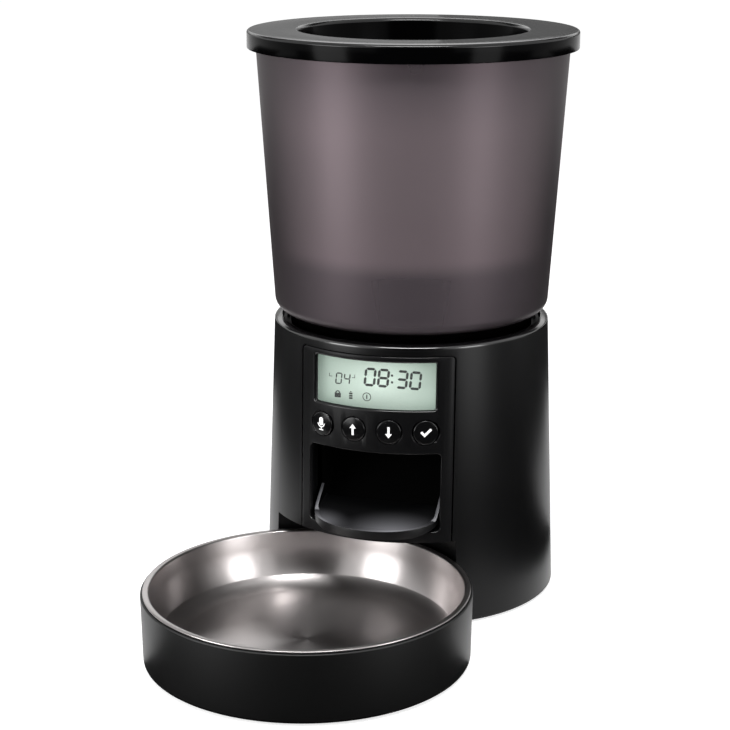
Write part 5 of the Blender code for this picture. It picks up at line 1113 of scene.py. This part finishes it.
def chute_scoop():
    """Drop tube, ramp and scoop with its raised lip, rounded inside and along its edges."""
    ramp_mouth = 59.7 * MM
    knee, knee_up = ramp_mouth - 3 * MM, LIP + 5 * MM
    tube_back = 29.2 * MM
    back = tube_back - CHUTE_WALL
    roof = 103.0 * MM
    floor_wall = 1.8 * MM
    lip_floor = LIP - 1.4 * MM
    turn = REACH - 8 * MM
    skirt = 4.4 * MM
    shoulder, shoulder_up = REACH - 22 * MM, LIP + 1.8 * MM
    side_up = LIP + 13 * MM
    ramp_top = OPENING_TOP - 2.4 * MM
    slope = (ramp_top - knee_up) / (knee - tube_back)
    under = floor_wall * math.sqrt(1 + slope ** 2)
    beyond = REACH + OVERRUN
    above = roof + OVERRUN
    wide = CHUTE_HALF + OVERRUN
    outer = [
        (beyond, LIP), (shoulder, shoulder_up), (ramp_mouth, side_up), (ramp_mouth, roof), (back, roof),
        (back, ramp_top - under), (knee, knee_up - under), (turn - skirt, lip_floor - floor_wall),
        (turn, LIP - skirt), (beyond, LIP - skirt),
    ]
    inner = [
        (beyond, above), (ramp_mouth + OVERRUN, above), (ramp_mouth + OVERRUN, OPENING_TOP),
        (tube_back, OPENING_TOP), (tube_back, ramp_top), (knee, knee_up), (turn, lip_floor),
        (beyond, lip_floor),
    ]
    chute = side_body("chute_scoop", outer, wide)
    combine(chute, plan_body("chute_plan", 0), "INTERSECT")

    tube_half = 27.6 * MM
    tube_front = 53.1 * MM
    tube_low = (FEEDER.x - tube_half, FEEDER.y - tube_front, roof - CHUTE_WALL / 2)
    tube_high = (FEEDER.x + tube_half, FEEDER.y - back, CHUTE_HIGH.z)
    combine(chute, block("drop_tube", tube_low, tube_high), "UNION")

    hollow = side_body("chute_hollow", inner, wide)
    combine(hollow, plan_body("chute_inner_plan", CHUTE_WALL), "INTERSECT")
    edit(hollow)
    pick(hollow, "EDGE", lambda edge: floor_edge(edge, lip_floor - SNUG, OPENING_TOP - MM))
    round_edges(2.2 * MM, 6)
    put_down()
    cut(chute, hollow)

    drop_low = (tube_low[0] + CHUTE_WALL, tube_low[1] + CHUTE_WALL, OPENING_TOP - CHUTE_WALL)
    drop_high = (tube_high[0] - CHUTE_WALL, FEEDER.y - tube_back, CASE_HIGH.z - CHUTE_WALL)
    cut(chute, block("drop", drop_low, drop_high))
    edit(chute)
    bpy.ops.mesh.remove_doubles(threshold=TINY)
    pick(chute, "EDGE", lambda edge: wall_top_edge(edge, FEEDER.y - ramp_mouth - MM))
    round_edges(0.45 * MM, 3, clamp=True)
    put_down()
    return settle(chute, SHARP)


def wall_top_edge(edge, behind):
    """True for the outer and inner edges along the top of the scoop's walls."""
    if not edge_is_sharp(edge) or any(vertex.co.y > behind for vertex in edge.verts):
        return False
    ups = sorted(face.normal.z for face in edge.link_faces)
    return ups[1] > 0.7 and abs(ups[0]) < 0.3


def floor_edge(edge, low, high):
    """True for an edge where the hollow's floor meets its walls."""
    if not edge_is_sharp(edge):
        return False
    normals = sorted(face.normal.z for face in edge.link_faces)
    if not (normals[0] < -0.3 and abs(normals[1]) < 0.05):
        return False
    return all(low < vertex.co.z < high for vertex in edge.verts)


def on_lip(point):
    """True for a place on the scoop's side walls or on the rim round its nose."""
    across = abs(point.x - FEEDER.x) / (CHUTE_HALF - CHUTE_WALL)
    forward = (FEEDER.y - REACH + NOSE - point.y) / (NOSE - CHUTE_WALL)
    return across > 1 if forward < 0 else across ** 2 + forward ** 2 > 1


def dress_chute(chute):
    """Matt black with painted shade behind the panel; in front of it painted highlight patches on the
    scoop's floor, and a glossier finish with a painted highlight line on the edges along its walls and
    lip."""
    inside_from = FEEDER.y - 66 * MM
    scoop_to = FEEDER.y - 60 * MM
    scoop_foot = LIP - 4 * MM
    for material in (CHUTE_INSIDE_SHADE, LIP_FLOOR_SHEEN, LIP_GLOSS_HIGHLIGHT):
        chute.data.materials.append(material)
    for face in chute.data.polygons:
        # Faces behind the panel take the painted shade
        if face.center.y > inside_from:
            face.material_index = 1
        if face.center.z < scoop_foot or face.center.y > scoop_to or face.normal.z < 0.1:
            continue
        # Lip faces take the painted highlight line; other upward faces take the painted highlight
        # patches
        if on_lip(face.center):
            face.material_index = 3
        elif face.normal.z > 0.5:
            face.material_index = 2


# The frame's own nodes

def dress_frame():
    """Gives every node its finish, merged doubles and shading that stays sharp at its edges."""
    for row in frame["record"]["subparts"]:
        node = frame["nodes"][row["node"]]
        node.data.materials.clear()
        node.data.materials.append(FINISHES[row["material_slot"]])
        node.data.polygons.foreach_set("use_smooth", [True] * len(node.data.polygons))
        weld = node.modifiers.new("weld", "WELD")
        weld.merge_threshold = TINY
        split = node.modifiers.new("sharp_edges", "EDGE_SPLIT")
        split.split_angle = math.radians(32)


# Stage: floor, background, camera and lamps

def sheet(name, location, size, turn, shade, roughness, glow=0.0):
    """A flat matt sheet of the stage that can glow."""
    put_down()
    bpy.ops.mesh.primitive_plane_add(size=1, location=location, rotation=turn)
    bpy.context.object.scale = (*size, 1)
    piece = fresh(name)
    material, shader = new_material(name + "_face")[:2]
    feed(shader, {"Base Color": (shade, shade, shade, 1), "Roughness": roughness,
                  "Specular IOR Level": 0.0, "Emission Color": (1, 1, 1, 1),
                  "Emission Strength": glow})
    piece.data.materials.append(material)
    return piece


def stage_floor():
    """A pale floor, lit from within just enough that it is white where nothing shades it."""
    size = (FLOOR_SIZE, FLOOR_SIZE)
    floor = sheet("studio_floor", (0, 0, -0.2 * MM), size, (0, 0, 0), 0.80, 0.9)
    shader, add = tools(floor.data.materials[0])
    feed(shader, {"Emission Strength": shown_share(add, FLOOR_GLOW)})


def flag(name, side, beyond, up, size, turn, glow=0.0):
    """A card that only glossy and clear surfaces see: black, or lit where it has a glow."""
    card = sheet(name, across_view(side, beyond, up), size, turn, 0.004, 1.0, glow)
    card.visible_camera = False
    card.visible_diffuse = False
    card.visible_shadow = False


def shown_share(add, strength):
    """A strength that only the camera, glossy and clear surfaces see."""
    path = add("LightPath").outputs
    direct = maths(add, "MAXIMUM", path["Is Camera Ray"], path["Is Glossy Ray"])
    either = maths(add, "MAXIMUM", direct, path["Is Transmission Ray"])
    return maths(add, "MULTIPLY", either, strength)


def studio_world():
    """A background that is white to look at and lights the scene more softly."""
    world = bpy.data.worlds.new("studio_world")
    bpy.context.scene.world = world
    world.use_nodes = True
    add = adder(world.node_tree)
    strength = ramp(add, shown_share(add, 1.0), 0, 1, WORLD_LIGHT, 1.0)
    feed(world.node_tree.nodes["Background"], {"Color": (1, 1, 1, 1), "Strength": strength})


def stand(name, data, location, turn):
    """Puts a lamp or the camera in its place."""
    piece = bpy.data.objects.new(name, data)
    bpy.context.scene.collection.objects.link(piece)
    piece.location = location
    piece.rotation_euler = turn
    return piece


def softbox(name, location, target, size, power):
    """A rectangular lamp aimed at a point."""
    lamp = bpy.data.lights.new(name, "AREA")
    lamp.shape = "RECTANGLE"
    lamp.size, lamp.size_y = size
    lamp.energy = power
    direction = Vector(target) - Vector(location)
    stand(name, lamp, location, direction.to_track_quat("-Z", "Y").to_euler())


def across_view(side, beyond, up):
    """A place beside and beyond the feeder's axis, as the camera sees it."""
    x = FEEDER.x + side * math.cos(VIEW_TURN) - beyond * math.sin(VIEW_TURN)
    y = FEEDER.y + side * math.sin(VIEW_TURN) + beyond * math.cos(VIEW_TURN)
    return (x, y, up)


def camera():
    """A long lens, a little above the feeder and beside its front."""
    data = bpy.data.cameras.new("camera")
    data.sensor_width = VIEW_SENSOR
    data.lens = VIEW_LENS
    bpy.context.scene.camera = stand("camera", data, VIEW_PLACE, (VIEW_TILT, 0, VIEW_TURN))


def cards():
    """Black cards keep the plastics dark; those at the back shape what the lid reflects."""
    flag("front_flag", 0, -1.66, ON_FLOOR, (5, 3.05), LYING)
    flag("left_flag", -0.80, 0.13, ON_FLOOR, (1.0, 0.53), LYING)
    flag("right_flag", 0.80, 0.21, ON_FLOOR, (1.0, 0.37), LYING)
    flag("right_near_flag", 0.70, -0.03, ON_FLOOR, (1.18, 0.21), LYING)
    flag("back_flag", 0, 1.05, ON_FLOOR, (4, 1.3), LYING)
    flag("back_left_card", -1.5, CARD_DISTANCE, 0.46, (3.2, 0.52), UPRIGHT, 0.36)
    flag("back_right_card", 1.7, CARD_DISTANCE, 0.46, (3.2, 0.52), UPRIGHT, 0.18)
    flag("back_card", 0, CARD_DISTANCE, 1.02, (3.6, 0.60), UPRIGHT, 1.5)
    flag("back_top_card", 0, CARD_DISTANCE, 2.20, (6.6, 1.76), UPRIGHT, 0.05)
    flag("camera_flag", 0, -2.3, 1.3, (2.2, 2.6), UPRIGHT)


def lamps():
    """Two low lamps beside the camera and one high strip."""
    case_middle = (0, 0, 0.14)
    hopper_foot = (0, 0.05, 0.20)
    softbox("left_softbox", across_view(-0.76, -0.50, 0.23), case_middle, (0.38, 0.44), 4.2)
    softbox("right_softbox", across_view(0.55, -0.52, 0.23), case_middle, (0.26, 0.44), 2.0)
    softbox("top_strip", (0.13, -0.50, 1.35), hopper_foot, (0.8, 0.24), 15)


dress_frame()
polish_top(finish(lid_shell(), "lid", "lid", "lid"))
finish(hopper_shell(), "hopper_smoke", "hopper", "hopper")
finish(funnel_shell(), "inner_plastic", "hopper", "hopper_funnel")
finish(bowl_dish(), "bowl_steel", "bowl", "steel_bowl")
finish(holder_shell(), "holder", "holder", "bowl_holder")
finish(case_shell(), "case", "base", "base_housing")
polish_edges(finish(panel_skin(), "panel", "base", "front_panel"))
finish(chute_collar(), "panel", "base", "front_panel")
finish(display_window(), "lens", "base", "display_lens")
display()
buttons()
dress_chute(finish(chute_scoop(), "chute", "base", "food_chute"))

stage_floor()
studio_world()
camera()
cards()
lamps()

bpy.context.scene.view_settings.view_transform = "Standard"
